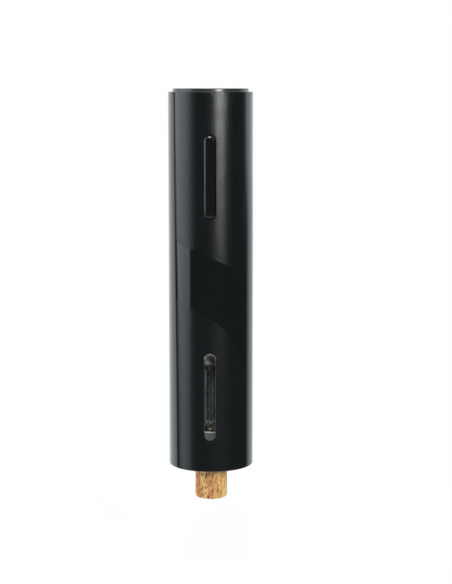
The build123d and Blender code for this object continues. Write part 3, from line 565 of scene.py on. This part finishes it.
def spin(bm, corners, closed=True, steps=192, centre=(0, 0, 0), axis="z"):
    """Spins an outline of (radius, along) corners about an axis. An open outline starts and ends on it."""
    out = {"z": AXIS["x"], "x": AXIS["z"], "y": AXIS["x"]}[axis]
    verts = [bm.verts.new(Vector(centre) + out * r + AXIS[axis] * a) for r, a in corners]
    ends = verts[1:] + verts[:1] if closed else verts[1:]
    edges = [bm.edges.new(pair) for pair in zip(verts, ends)]
    bmesh.ops.spin(bm, geom=verts + edges, cent=centre, axis=AXIS[axis], angle=2 * math.pi,
                   steps=steps, use_merge=True)
    return bm


def eased(before, corner, after, radius, cuts=4):
    """The points of a rounded corner of an outline."""
    corner = Vector(corner)
    to_before, to_after = (Vector(before) - corner).normalized(), (Vector(after) - corner).normalized()
    half = to_before.angle(to_after) / 2
    middle = corner + (to_before + to_after).normalized() * (radius / math.sin(half))
    start = (corner + to_before * (radius / math.tan(half)) - middle).normalized()
    end = (corner + to_after * (radius / math.tan(half)) - middle).normalized()
    return [tuple(middle + radius * start.slerp(end, i / cuts)) for i in range(cuts + 1)]


def outline(*corners):
    """An outline whose corners may carry a radius as a third number."""
    points = []
    for i, corner in enumerate(corners):
        if len(corner) == 2:
            points.append(corner)
            continue
        before, after = corners[i - 1][:2], corners[(i + 1) % len(corners)][:2]
        points += eased(before, corner[:2], after, corner[2])
    return points


print("outlines can be spun")

# %% [markdown]
# ## The barrel and its openings
# The real barrel is one drawn tube with four openings punched in it. The tube is spun from its outline.
# For each opening, a patch of its wall is taken out, and the patch's rim is drawn in, ring by ring, until
# it has the opening's shape, always keeping to the round of the tube. The outer and the inner wall are
# then joined through the opening. So the tube needs rings of edges at the right heights from the start.

# %% The openings
WINDOW, WINDOW_LINE = 44.55, 22.25  # a slot's middle, and half of the straight line between its half circles
BUTTON, BUTTON_SLOT_LINE = 173.0, 20.9
PORT, PORT_LINE = 203.0, 2.85
LIGHT = 209.0
FRONT, BACK = -1, 1
# columns and reach say how large a patch of the wall is taken out for the opening
OPENINGS = [
    {"side": FRONT, "middle": WINDOW, "line": WINDOW_LINE, "lies": False, "half_width": 3.5,
     "columns": 12, "reach": 7.2},
    {"side": FRONT, "middle": BUTTON, "line": BUTTON_SLOT_LINE, "lies": False, "half_width": 3.5,
     "columns": 12, "reach": 7.2},
    {"side": BACK, "middle": PORT, "line": PORT_LINE, "lies": True, "half_width": 1.95,
     "columns": 14, "reach": 4.0},
    {"side": BACK, "middle": LIGHT, "line": 0.0, "lies": True, "half_width": 1.1,
     "columns": 6, "reach": 2.0},
]


def rows_of(opening, parts=9):
    """The heights where the tube needs a ring of edges for one opening."""
    upright = 0.0 if opening["lies"] else opening["line"]
    steps = [opening["reach"] * i / parts for i in range(parts + 1)]
    return [opening["middle"] + s * (upright + step) for s in (-1, 1) for step in steps]


rows = sorted({round(h, 3) for opening in OPENINGS for h in rows_of(opening)})
print("openings:", len(OPENINGS), "rings of edges for them:", len(rows))

# %% [markdown]
# ## The barrel's tube
# The outline goes up the outside and down the inside. Extra rings close to the rounded edges keep the long
# wall's shading flat. The lip at the top is a little narrower than the bore, and holds the cap in.

# %% The tube
R, BORE, TOP = 25.0, 23.2, 221.8
LIP_BORE, LIP_UNDER = 22.35, 220.0
COLUMNS = 240
outside = [(R, h) for h in rows]
inside = [(BORE, h) for h in reversed(rows)]
foot = eased((BORE, 0), (R, 0), (R, 10), 0.8, 5) + [(R, 0.95), (R, 1.4), (R, 4)]
shoulder = [(R, TOP - 3), (R, TOP - 1), (R, TOP - 0.6)]
shoulder += eased((R, 200), (R, TOP), (LIP_BORE, TOP), 0.5, 4)
lip = [(LIP_BORE + 0.15, TOP), (LIP_BORE, TOP - 0.15), (LIP_BORE, LIP_UNDER), (BORE, LIP_UNDER)]
barrel_outline = [(BORE, 0.3), (BORE + 0.3, 0)] + foot + outside + shoulder + lip + inside
barrel = spin(bmesh.new(), barrel_outline, steps=COLUMNS)
bmesh.ops.remove_doubles(barrel, verts=barrel.verts, dist=0.001)
print("tube spun:", len(barrel.faces), "faces")

# %% [markdown]
# ## Punching the openings
# A boolean cut would be one line of code, but it leaves long thin faces round a slot in a curved wall, and
# on a glossy black tube every one of them shows. Drawing the rim in keeps the faces even.

# %% The punched openings
def draw_in(bm, rim, side, middle, line, lies, half_width, radius, share):
    """Draws a rim of edges a share of the way in to the opening's outline, on the round of the tube."""
    made = bmesh.ops.extrude_edge_only(bm, edges=rim)
    verts = [g for g in made["geom"] if isinstance(g, bmesh.types.BMVert)]
    edges = [g for g in made["geom"] if isinstance(g, bmesh.types.BMEdge)]
    for v in verts:
        here = Vector((v.co.x, v.co.z - middle))
        span = max(-line, min(line, here.x if lies else here.y))
        spine = Vector((span, 0)) if lies else Vector((0, span))
        goal = spine + (here - spine).normalized() * half_width
        flat = here.lerp(goal, share)
        v.co = Vector((flat.x, side * math.sqrt(radius * radius - flat.x ** 2), middle + flat.y))
    return edges


def punch(bm, side, middle, line, lies, half_width, columns, reach):
    """Opens the outer and the inner wall at one place, and joins them through the opening."""
    upright = 0.0 if lies else line
    widest = math.radians(360 / COLUMNS) * columns + 0.001
    rims = []
    for radius in (R, BORE):
        patch = []
        for face in bm.faces:
            c = face.calc_center_median()
            on_wall = all(abs(Vector((v.co.x, v.co.y)).length - radius) < 0.01 for v in face.verts)
            turn = math.atan2(abs(c.x), side * c.y)
            if on_wall and turn < widest and abs(c.z - middle) < upright + reach:
                patch.append(face)
        edges = {e for face in patch for e in face.edges}
        border = [e for e in edges if sum(face in patch for face in e.link_faces) == 1]
        bmesh.ops.delete(bm, geom=patch, context="FACES")
        rims.append(border)
    outer, inner = rims
    for share in (0.4, 0.5, 0.6, 0.7):
        outer = draw_in(bm, outer, side, middle, line, lies, half_width + 0.3, R, share)
        inner = draw_in(bm, inner, side, middle, line, lies, half_width + 0.3, BORE, share)
    for more, radius in ((0.3, R), (0.2, R), (0.06, R - 0.05), (0.0, R - 0.2)):
        outer = draw_in(bm, outer, side, middle, line, lies, half_width + more, radius, 1.0)
    for more in (0.3, 0.0):
        inner = draw_in(bm, inner, side, middle, line, lies, half_width + more, BORE, 1.0)
    bmesh.ops.bridge_loops(bm, edges=outer + inner)


for opening in OPENINGS:
    punch(barrel, **opening)
settle(barrel, "barrel", "barrel_shell")

# %% [markdown]
# ## The cap
# A shallow turned disc with a soft edge, held by a flange under the barrel's lip. Its top is one flat face
# in life; here a few rings keep its shading even.

# %% The cap
SLIP = 0.1
CAP_R, CAP_TOP, CAP_EDGE, CAP_FLANGE = 22.25, 223.6, 0.5, 1.8
under_lip = LIP_UNDER - SLIP
cap = spin(bmesh.new(), outline(
    (0, under_lip - CAP_FLANGE), (BORE - SLIP, under_lip - CAP_FLANGE), (BORE - SLIP, under_lip),
    (CAP_R, under_lip), (CAP_R, CAP_TOP, CAP_EDGE), (CAP_R - 0.8, CAP_TOP), (12, CAP_TOP), (0, CAP_TOP)),
    closed=False)
settle(cap, "cap", "top_cap")

# %% [markdown]
# ## Slot-shaped pieces
# The button, the window's rim and pane, and the port have the outline of the slot that they sit in: two
# half circles joined by straight sides. Each is a stack of such outlines, every one with its own half
# width and depth, drawn out of the one before. An outline of no width folds flat and closes the piece.

# %% A stack of slot outlines
def slot_ring(bm, edges, line, half_width, depth, middle, lies, flat):
    """Shapes the newest ring. Depth is a radius about the barrel's axis, or a plain y where it is below 0."""
    verts = {v for e in edges for v in e.verts}
    for v in verts:
        turn = v[bm.verts.layers.float["turn"]]
        a, b = half_width * math.cos(turn), half_width * math.sin(turn)
        b += line if math.sin(turn) > 0 else -line
        x, z = (b, a) if lies else (a, b)
        y = depth if flat or depth < 0 else -math.sqrt(depth * depth - x * x)
        v.co = Vector((x, y, z + middle))
    return edges


def slot_stack(bm, middle, rings, closed=False, lies=False, flat=False, segments=72):
    """Rings are (half line, half width, depth). A closed stack ends where it began, as a hoop does.

    A stack that lies has its line along x, and a flat one takes every depth as a plain y.
    """
    turns = bm.verts.layers.float.get("turn") or bm.verts.layers.float.new("turn")
    made = bmesh.ops.create_circle(bm, segments=segments, radius=1.0)["verts"]
    bmesh.ops.rotate(bm, verts=made, matrix=Matrix.Rotation(math.pi / segments, 3, "Z"))
    for v in made:
        v[turns] = math.atan2(v.co.y, v.co.x)
    first = list({e for v in made for e in v.link_edges})
    edges = slot_ring(bm, first, *rings[0], middle, lies, flat)
    for ring in rings[1:]:
        grown = bmesh.ops.extrude_edge_only(bm, edges=edges)["geom"]
        edges = [g for g in grown if isinstance(g, bmesh.types.BMEdge)]
        slot_ring(bm, edges, *ring, middle, lies, flat)
    if closed:
        bmesh.ops.bridge_loops(bm, edges=first + edges)
    bmesh.ops.remove_doubles(bm, verts=bm.verts, dist=0.0004)
    return bm


print("slot outlines can be stacked")

# %% [markdown]
# ## The button
# A long rocker. What shows is a narrow, polished bar with a broad bevel along each side and a faint ridge
# along its crown. Behind the barrel's wall it widens to a flange that keeps it in, and a hub and two pads
# work on the pivot and the switches.

# %% The button's bar, flange, hub and pads
BUTTON_LINE, FLANGE_LINE, PAD_SPREAD = 20.5, 21.0, 14.5
bar = [(BUTTON_LINE, w, r) for w, r in (
    (3.2, 22.3), (3.2, -24.26), (3.19, -24.34), (3.17, -24.39), (3.13, -24.43), (2.3, -24.97),
    (2.26, -24.98), (2.15, -24.982), (1.9, -24.982), (1.2, -24.982), (0.92, -24.96), (0.86, -24.962),
    (0.7, -24.996), (0.6, -25.0), (0.3, -25.0), (0.0, -25.0))]
flange = [(FLANGE_LINE, w, r) for w, r in (
    (0.0, 21.0), (2.5, 21.0), (4.7, 21.0), (4.8, 21.1), (4.8, 22.2), (4.7, 22.3))]
button = slot_stack(bmesh.new(), BUTTON, flange + bar)
spin(button, outline((0.95, -4.8), (1.9, -4.8, 0.15), (1.9, 4.8, 0.15), (0.95, 4.8)), steps=48,
     centre=(0, -19.6, BUTTON), axis="x")


def block(bm, size, centre):
    """A plain block, as its corners."""
    verts = bmesh.ops.create_cube(bm, size=1.0)["verts"]
    bmesh.ops.scale(bm, vec=size, verts=verts)
    bmesh.ops.translate(bm, vec=centre, verts=verts)
    return verts


for height in (BUTTON - PAD_SPREAD, BUTTON + PAD_SPREAD):
    block(button, (3.2, 0.9, 3.2), (0, -20.75, height))
block(button, (9.0, 0.9, 3.0), (0, -20.85, BUTTON))
settle(button, "button", "button_rocker", crisp=40)

# %% [markdown]
# ## The window
# A thin rim lines the slot and stands a hair below the barrel's surface. The pane sits in it. The pane's
# own flange, wider than the slot, bears on the inside of the barrel.

# %% The window's rim and pane
rim = slot_stack(bmesh.new(), WINDOW, [(WINDOW_LINE, w, r) for w, r in (
    (3.45, 23.25), (3.45, 24.5), (3.42, 24.57), (3.37, 24.6), (3.34, 24.59), (3.14, 24.42), (3.12, 24.38),
    (3.12, 23.25))], closed=True)
settle(rim, "window_rim", "window_gasket", crisp=50)
pane = slot_stack(bmesh.new(), WINDOW, [(WINDOW_LINE, w, r) for w, r in (
    (0.0, 21.9), (2.6, 21.9), (5.0, 21.9), (5.1, 22.0), (5.1, 23.0), (5.0, 23.1), (3.05, 23.1),
    (3.05, 24.2), (3.0, 24.34), (2.88, 24.4), (1.5, 24.4), (0.0, 24.4))])
settle(pane, "window_pane", "window_lens", crisp=40)

# %% [markdown]
# ## The mouth
# The neck socket is a moulded ring, ribbed out to the barrel, with a bevelled lip that guides the bottle
# in. A soft washer at its end meets the bottle's lip.

# %% The socket ring and its washer
ring = spin(bmesh.new(), outline(
    (17.0, 0), (23.1, 0, 0.3), (23.1, 14), (21.5, 14), (21.5, 2), (17.3, 2), (17.3, 21.6), (15.5, 21.6),
    (15.5, 1.5, 0.4)))
SOCKET_RIBS = 12
for i in range(SOCKET_RIBS):
    rib = block(ring, (4.4, 1.2, 11.3), (19.4, 0, 7.4))
    turn = math.radians(360 / SOCKET_RIBS * (i + 0.5))
    bmesh.ops.rotate(ring, verts=rib, matrix=Matrix.Rotation(turn, 3, "Z"))
settle(ring, "socket_ring", "foot_ring")
washer = spin(bmesh.new(), outline(
    (10.3, 19.6, 0.45), (15.4, 19.6), (15.4, 21.6), (10.3, 21.6, 0.45)))
settle(washer, "lip_washer", "lip_cushion", crisp=50)

# %% [markdown]
# ## The clear sleeve
# The cork is drawn up into a clear tube with a flange at each end. Six ribs run up its bore to keep the
# cork from turning. Its outside is finely reeded, and through the window the reeds show as upright lines.
# The reeds are made by moving the wall's corners out, because a tube with hundreds of steps has them ready.

# %% The sleeve, its reeds and its ribs
SLEEVE_R, REED_HEIGHT, SLEEVE_RIBS = 12.6, 0.22, 6
sleeve = spin(bmesh.new(), outline(
    (11.2, 21.6), (17.2, 21.6, 0.4), (17.2, 23.1, 0.4), (SLEEVE_R, 23.1), (SLEEVE_R, 25.5), (SLEEVE_R, 26.0),
    (SLEEVE_R, 42.0), (SLEEVE_R, 60.6), (SLEEVE_R, 60.9), (SLEEVE_R, 61.2), (17.0, 61.2, 0.4),
    (17.0, 62.7, 0.4), (11.2, 62.7, 0.25)), steps=REEDS * 8)
for v in sleeve.verts:
    reach = Vector((v.co.x, v.co.y)).length
    if abs(reach - SLEEVE_R) < 0.01 and 25.9 < v.co.z < 60.7:
        swell = REED_HEIGHT * abs(math.cos(REEDS / 2 * math.atan2(v.co.y, v.co.x))) ** 1.5
        v.co.x *= 1 + swell / reach
        v.co.y *= 1 + swell / reach
for i in range(SLEEVE_RIBS):
    rib = block(sleeve, (1.4, 1.4, 33.0), (10.6, 0, 40.7))
    for v in rib:
        if v.co.x > 10.6:
            v.co.z += 2.6 if v.co.z > 40 else -2.6
    turn = math.radians(360 / SLEEVE_RIBS * i - 90)
    bmesh.ops.rotate(sleeve, verts=rib, matrix=Matrix.Rotation(turn, 3, "Z"))
settle(sleeve, "chamber_sleeve", "chamber_sleeve")

# %% [markdown]
# ## The worm
# A round wire wound on a 9.5 mm lead about an open centre, ground to a point. A section is spun with a
# rise at every step, as a thread is cut. The section is upright while the wire climbs, so it has to be
# taller than wide for the wire to come out round. The same function bores the worm's path in the cork.

# %% A tube on the worm's helix
LEAD, WORM_R, WIRE = 9.5, 3.4, 1.4
TIP_Z, TIP_ANGLE = 25.3, math.radians(-150)
SLOPE = math.atan(LEAD / (2 * math.pi * WORM_R))
PER_TURN = 48


def wound(bm, radius, low, high, per_turn=PER_TURN, around=24):
    """A tube of a radius on the worm's helix between two heights. Returns its rings, lowest first."""
    start = TIP_ANGLE + 2 * math.pi * (low - TIP_Z) / LEAD
    steps = max(2, round(per_turn * (high - low) / LEAD))
    loop = bmesh.ops.create_circle(bm, segments=around, radius=radius)["verts"]
    bmesh.ops.rotate(bm, verts=loop, matrix=Matrix.Rotation(math.pi / 2, 3, "X"))
    bmesh.ops.scale(bm, vec=(1, 1, 1 / math.cos(SLOPE)), verts=loop)
    bmesh.ops.translate(bm, vec=(WORM_R, 0, low), verts=loop)
    bmesh.ops.rotate(bm, verts=loop, matrix=Matrix.Rotation(start, 3, "Z"))
    edges = list({e for v in loop for e in v.link_edges})
    turn, rise = 2 * math.pi * (high - low) / LEAD / steps, (high - low) / steps
    rings = [edges]
    for _ in range(steps):
        grown = bmesh.ops.spin(bm, geom=rings[-1], axis=(0, 0, 1), dvec=(0, 0, rise), angle=turn,
                               steps=1)["geom_last"]
        rings.append([g for g in grown if isinstance(g, bmesh.types.BMEdge)])
    return rings


def helix_point(height):
    angle = TIP_ANGLE + 2 * math.pi * (height - TIP_Z) / LEAD
    return Vector((WORM_R * math.cos(angle), WORM_R * math.sin(angle), height))


print(f"the worm's wire climbs at {math.degrees(SLOPE):.1f} degrees")

# %% [markdown]
# ## The worm's point and shank
# The first half turn is ground down to a point: each ring of the wire shrinks towards its own middle, fast
# at first, as on a pencil. Above the wire, a collar and a shank go into the carrier.

# %% The worm
WIRE_TOP, POINT_RINGS, POINT_SIZE = 98.5, PER_TURN / 2, 0.15
worm = bmesh.new()
rings = wound(worm, WIRE, TIP_Z, WIRE_TOP)
for i, loop in enumerate(rings):
    if i < POINT_RINGS:
        share = POINT_SIZE + (1 - POINT_SIZE) * (i / POINT_RINGS) ** 0.5
        middle = helix_point(TIP_Z + LEAD * i / PER_TURN)
        for v in {v for e in loop for v in e.verts}:
            v.co = middle + (v.co - middle) * share
for loop in (rings[0], rings[-1]):
    bmesh.ops.edgeloop_fill(worm, edges=loop)
shank = outline((0, 96), (4.9, 96, 0.5), (4.9, 101), (2.5, 101), (2.5, 111), (0, 111))
spin(worm, shank, closed=False, steps=64)
settle(worm, "worm", "worm")

# %% [markdown]
# ## The cork
# The cork is spun from a fine outline so that its pores can be pressed in as real dents. The wall is also a
# little rough and frayed, from noise that moves each point in or out by a hair.

# %% The cork's side and its pores
CORK_LOW, CORK_HIGH = -20.5, 23.5


def pore_depth(angle, height):
    """How deep the pores go at one place on the cork's side."""
    deepest = 0.0
    for a, h, wide, long_, depth in PORES:
        across = CORK_R * ((math.radians(a) - angle + math.pi) % (2 * math.pi) - math.pi) / wide
        along = (h - height) / long_
        deepest = max(deepest, depth * math.exp(-1.4 * (across ** 2 + along ** 2)))
    return deepest


side = outline((0, CORK_LOW), (CORK_R, CORK_LOW, 1.2), (CORK_R, CORK_HIGH, 0.6), (0, CORK_HIGH))
lower, upper = side[1:6], side[6:11]
first, last = lower[-1][1], upper[0][1]
WALL_STEPS = 124
wall = [(CORK_R, first + (last - first) * i / WALL_STEPS) for i in range(1, WALL_STEPS)]
cork = bmesh.new()
spin(cork, [(0, CORK_LOW), (4, CORK_LOW)] + lower + wall + upper, closed=False, steps=160)
for v in cork.verts:
    reach = Vector((v.co.x, v.co.y)).length
    if reach > CORK_R - 0.9:
        angle = math.atan2(v.co.x, -v.co.y)
        rough = 0.10 * (noise.noise(Vector((v.co.x, v.co.y, v.co.z * 0.4)) * 0.9) - 0.6)
        fray = 0.05 * (noise.noise(v.co * 3.1) - 0.5)
        shrink = pore_depth(angle, v.co.z) - rough - fray
        v.co.x *= 1 - max(0.0, shrink) / reach
        v.co.y *= 1 - max(0.0, shrink) / reach
print("cork's side:", len(cork.faces), "faces")

# %% [markdown]
# ## The path that the worm bores
# The worm goes 38 mm down into the cork. Its path is a slightly wider tube on the same helix. It is cut off
# level with the cork's top, and the top is filled between its edge and the path's mouth, so the cork stays
# one closed piece and the worm never cuts through it.

# %% The cork's bored path and its top
STROKE, PATH_ROOM = 38.0, 0.25
path_low = TIP_Z - STROKE - 0.8
path = wound(cork, WIRE + PATH_ROOM, path_low, CORK_HIGH + 4.0, per_turn=40, around=20)
bmesh.ops.edgeloop_fill(cork, edges=path[0])
tube = list({f for loop in path for e in loop for f in e.link_faces})
tube_geom = list({g for f in tube for g in [f, *f.edges, *f.verts]})
bmesh.ops.bisect_plane(cork, geom=tube_geom, plane_co=(0, 0, CORK_HIGH), plane_no=(0, 0, 1), clear_outer=True)
mouth = [e for e in cork.edges
         if len(e.link_faces) == 1 and min(v.co.z for v in e.verts) > CORK_HIGH - 0.01]
bmesh.ops.triangle_fill(cork, edges=mouth, use_beauty=True)
settle(cork, "cork_body", "cork", crisp=45)

# %% [markdown]
# ## The charging port and its light
# At the back, near the top: a rounded steel receptacle with a thin tongue, and above it the end of a milky
# light pipe with a domed face.

# %% The port's shell and tongue, and the light pipe
PORT_SHELL_LINE = 2.84
port = slot_stack(bmesh.new(), PORT, [(PORT_SHELL_LINE, w, y) for w, y in (
    (0.0, 15.85), (1.63, 15.85), (1.63, 22.8), (1.58, 22.9), (1.38, 22.9), (1.33, 22.8), (1.33, 17.05),
    (0.0, 17.05))], lies=True, flat=True)
block(port, (6.7, 4.6, 0.7), (0, 19.2, PORT))
settle(port, "charging_port", "usb_port")
light = spin(bmesh.new(), [(0, 15.85), (1.0, 15.85), (1.0, 24.35), (0.93, 24.55), (0.7, 24.7), (0.35, 24.78),
                           (0, 24.8)], closed=False, steps=40, centre=(0, 0, LIGHT), axis="y")
settle(light, "light_pipe", "status_led")

# %% [markdown]
# ## The camera
# The camera looks down a little from in front, with a long lens, as a product is usually shown. A long
# lens keeps upright lines upright and the round ends flat.

# %% The camera
VIEW_TURN = math.radians(1.45)
CAMERA_FAR, CAMERA_HIGH = 0.930, 0.2255
LOOK_DOWN, LOOK_ASIDE = math.radians(7.473), math.radians(0.552)
scene = bpy.context.scene
camera = bpy.data.objects.new("camera", bpy.data.cameras.new("camera"))
scene.collection.objects.link(camera)
camera.location = (CAMERA_FAR * math.sin(VIEW_TURN), -CAMERA_FAR * math.cos(VIEW_TURN), CAMERA_HIGH)
camera.rotation_euler = (math.radians(90) - LOOK_DOWN, 0, VIEW_TURN - LOOK_ASIDE)
camera.data.sensor_width = 36
camera.data.lens = 97.25
camera.data.clip_start, camera.data.clip_end = 0.05, 50
scene.camera = camera
scene.view_settings.view_transform = "Standard"
print("camera at", tuple(camera.location))

# %% [markdown]
# ## The lamps
# Both lamps stand in front and above the camera, one to its right and a larger one high up. They hardly
# show in the polished band, which throws them downwards, but the satin textures spread them into the soft
# highlight right of the middle.

# %% The lamps
def lamp(name, azimuth, height, distance, aim, width, tall, watts):
    """A soft box: azimuth 0 is in front, and grows towards the object's right-hand side in the view."""
    data = bpy.data.lights.new(name, "AREA")
    data.shape, data.size, data.size_y, data.energy = "RECTANGLE", width, tall, watts
    obj = bpy.data.objects.new(name, data)
    turn = math.radians(azimuth) + VIEW_TURN
    obj.location = (distance * math.sin(turn), -distance * math.cos(turn), height)
    obj.rotation_euler = (Vector(aim) - obj.location).to_track_quat("-Z", "Y").to_euler()
    obj.visible_camera = False
    scene.collection.objects.link(obj)


lamp("key", azimuth=25, height=0.42, distance=1.1, aim=(0, 0, 0.12), width=0.16, tall=0.2, watts=8.5)
lamp("top_front", azimuth=-4, height=1.15, distance=0.75, aim=(0, 0, 0.05), width=0.3, tall=0.3, watts=5)
print("lamps:", len(bpy.data.lights))

# %% [markdown]
# ## The room
# What a glossy black tube shows is mostly its surroundings. They could be built as walls and lamps, but a
# sky made of nodes is lighter and has no corners. Its brightness depends on the direction: a tall soft
# box far round to the left gives the barrel its long pale reflection, the walls behind are white, and the
# side with the camera is dark. The camera itself sees plain white.

# %% The room
def slanted(start, shift, share):
    """An azimuth in degrees that shifts as share goes from 0 to 1, in radians."""
    return math.radians(start) + math.radians(shift) * share


def room():
    look = Look("room", bpy.data.worlds.new("room"))
    camera_ray = look.node("ShaderNodeLightPath", out="Is Camera Ray")
    split = look.node("ShaderNodeSeparateXYZ", sockets={0: look.node("ShaderNodeTexCoord", out="Generated")})
    x, y, up = [look.also(split, i) for i in range(3)]
    azimuth = look.maths("ARCTAN2", x, y * -1) - VIEW_TURN
    lower = 1 - up.rise(-0.27, 0.02)
    level_view = up.rise(-0.09, -0.03)
    far_edge = azimuth.rise(slanted(-114, 11, lower), slanted(-111, 30, lower))
    near_edge = 1 - azimuth.rise(math.radians(-61), math.radians(-58))
    fading = azimuth.rise(math.radians(-105), math.radians(-58)) * (0.12 + 0.32 * lower)
    brightness = (2.5 - 1.15 * lower) * (1.08 - fading)
    soft_box = far_edge * near_edge * brightness
    left_wall = 1 - azimuth.rise(slanted(-122, 11, lower), slanted(-117, 11, lower))
    left_wall = left_wall * (1.1 + 0.35 * azimuth.rise(math.radians(-165), math.radians(-150)))
    right_wall = azimuth.rise(slanted(109, -11, level_view), slanted(130, -12, level_view))
    right_wall = right_wall * (1.1 + 0.35 * level_view)
    ceiling = up.rise(0.55, 0.75)
    ground = 1 - up.rise(-0.75, -0.5)
    level = 0.05 + soft_box + left_wall + right_wall
    level = level * (1 - ceiling) + 0.9 * ceiling
    level = level * (1 - ground) + 0.7 * ground
    cool = look.mix(rgb(0.93, 1.0, 1.03), rgb(1, 1, 1), camera_ray)
    strength = camera_ray + level * (1 - camera_ray)
    sky = look.node("ShaderNodeBackground", sockets={"Color": cool, "Strength": strength})
    look.node("ShaderNodeOutputWorld", sockets={"Surface": sky})
    return look.material


scene.world = room()
print("room:", len(scene.world.node_tree.nodes), "nodes")

# %% [markdown]
# ## The floor
# The opener hangs in the air, so the floor lies just below the lowest place that the cork reaches. It
# catches a faint shadow and fades into the white round it. To reflections it is clear, so that the barrel
# shows the room and not the floor.

# %% The floor
CORK_LOWEST = -0.0708


def floor_finish():
    look = Look("pale_floor")
    x, y, z = look.axes()
    camera_ray = look.node("ShaderNodeLightPath", out="Is Camera Ray")
    glossy = look.also(camera_ray, "Is Glossy Ray")
    seen = camera_ray + look.also(camera_ray, "Is Transmission Ray")
    from_middle = look.maths("SQRT", x * x + y * y)
    glow = seen * (0.84 + 0.16 * from_middle.rise(0.04, 0.30))
    speck = look.grain(0.002, 2.0)
    colour = look.mix(rgb(0.84, 0.84, 0.84), rgb(0.88, 0.88, 0.88), speck)
    paint = look.node("ShaderNodeBsdfDiffuse", sockets={"Color": colour})
    white = look.node("ShaderNodeEmission", sockets={"Color": rgb(1, 1, 1), "Strength": 1.0})
    clear = look.node("ShaderNodeBsdfTransparent")
    return look.finish(look.blend(glossy, look.blend(glow, paint, white), clear)).material


floor = bmesh.new()
bmesh.ops.create_circle(floor, cap_ends=True, segments=96, radius=0.35)
bmesh.ops.translate(floor, vec=(0, 0.02, CORK_LOWEST), verts=floor.verts)
floor_mesh = bpy.data.meshes.new("floor")
floor.to_mesh(floor_mesh)
floor.free()
floor_mesh.materials.append(floor_finish())
floor_object = bpy.data.objects.new("floor", floor_mesh)
scene.collection.objects.link(floor_object)
print("floor at", CORK_LOWEST)
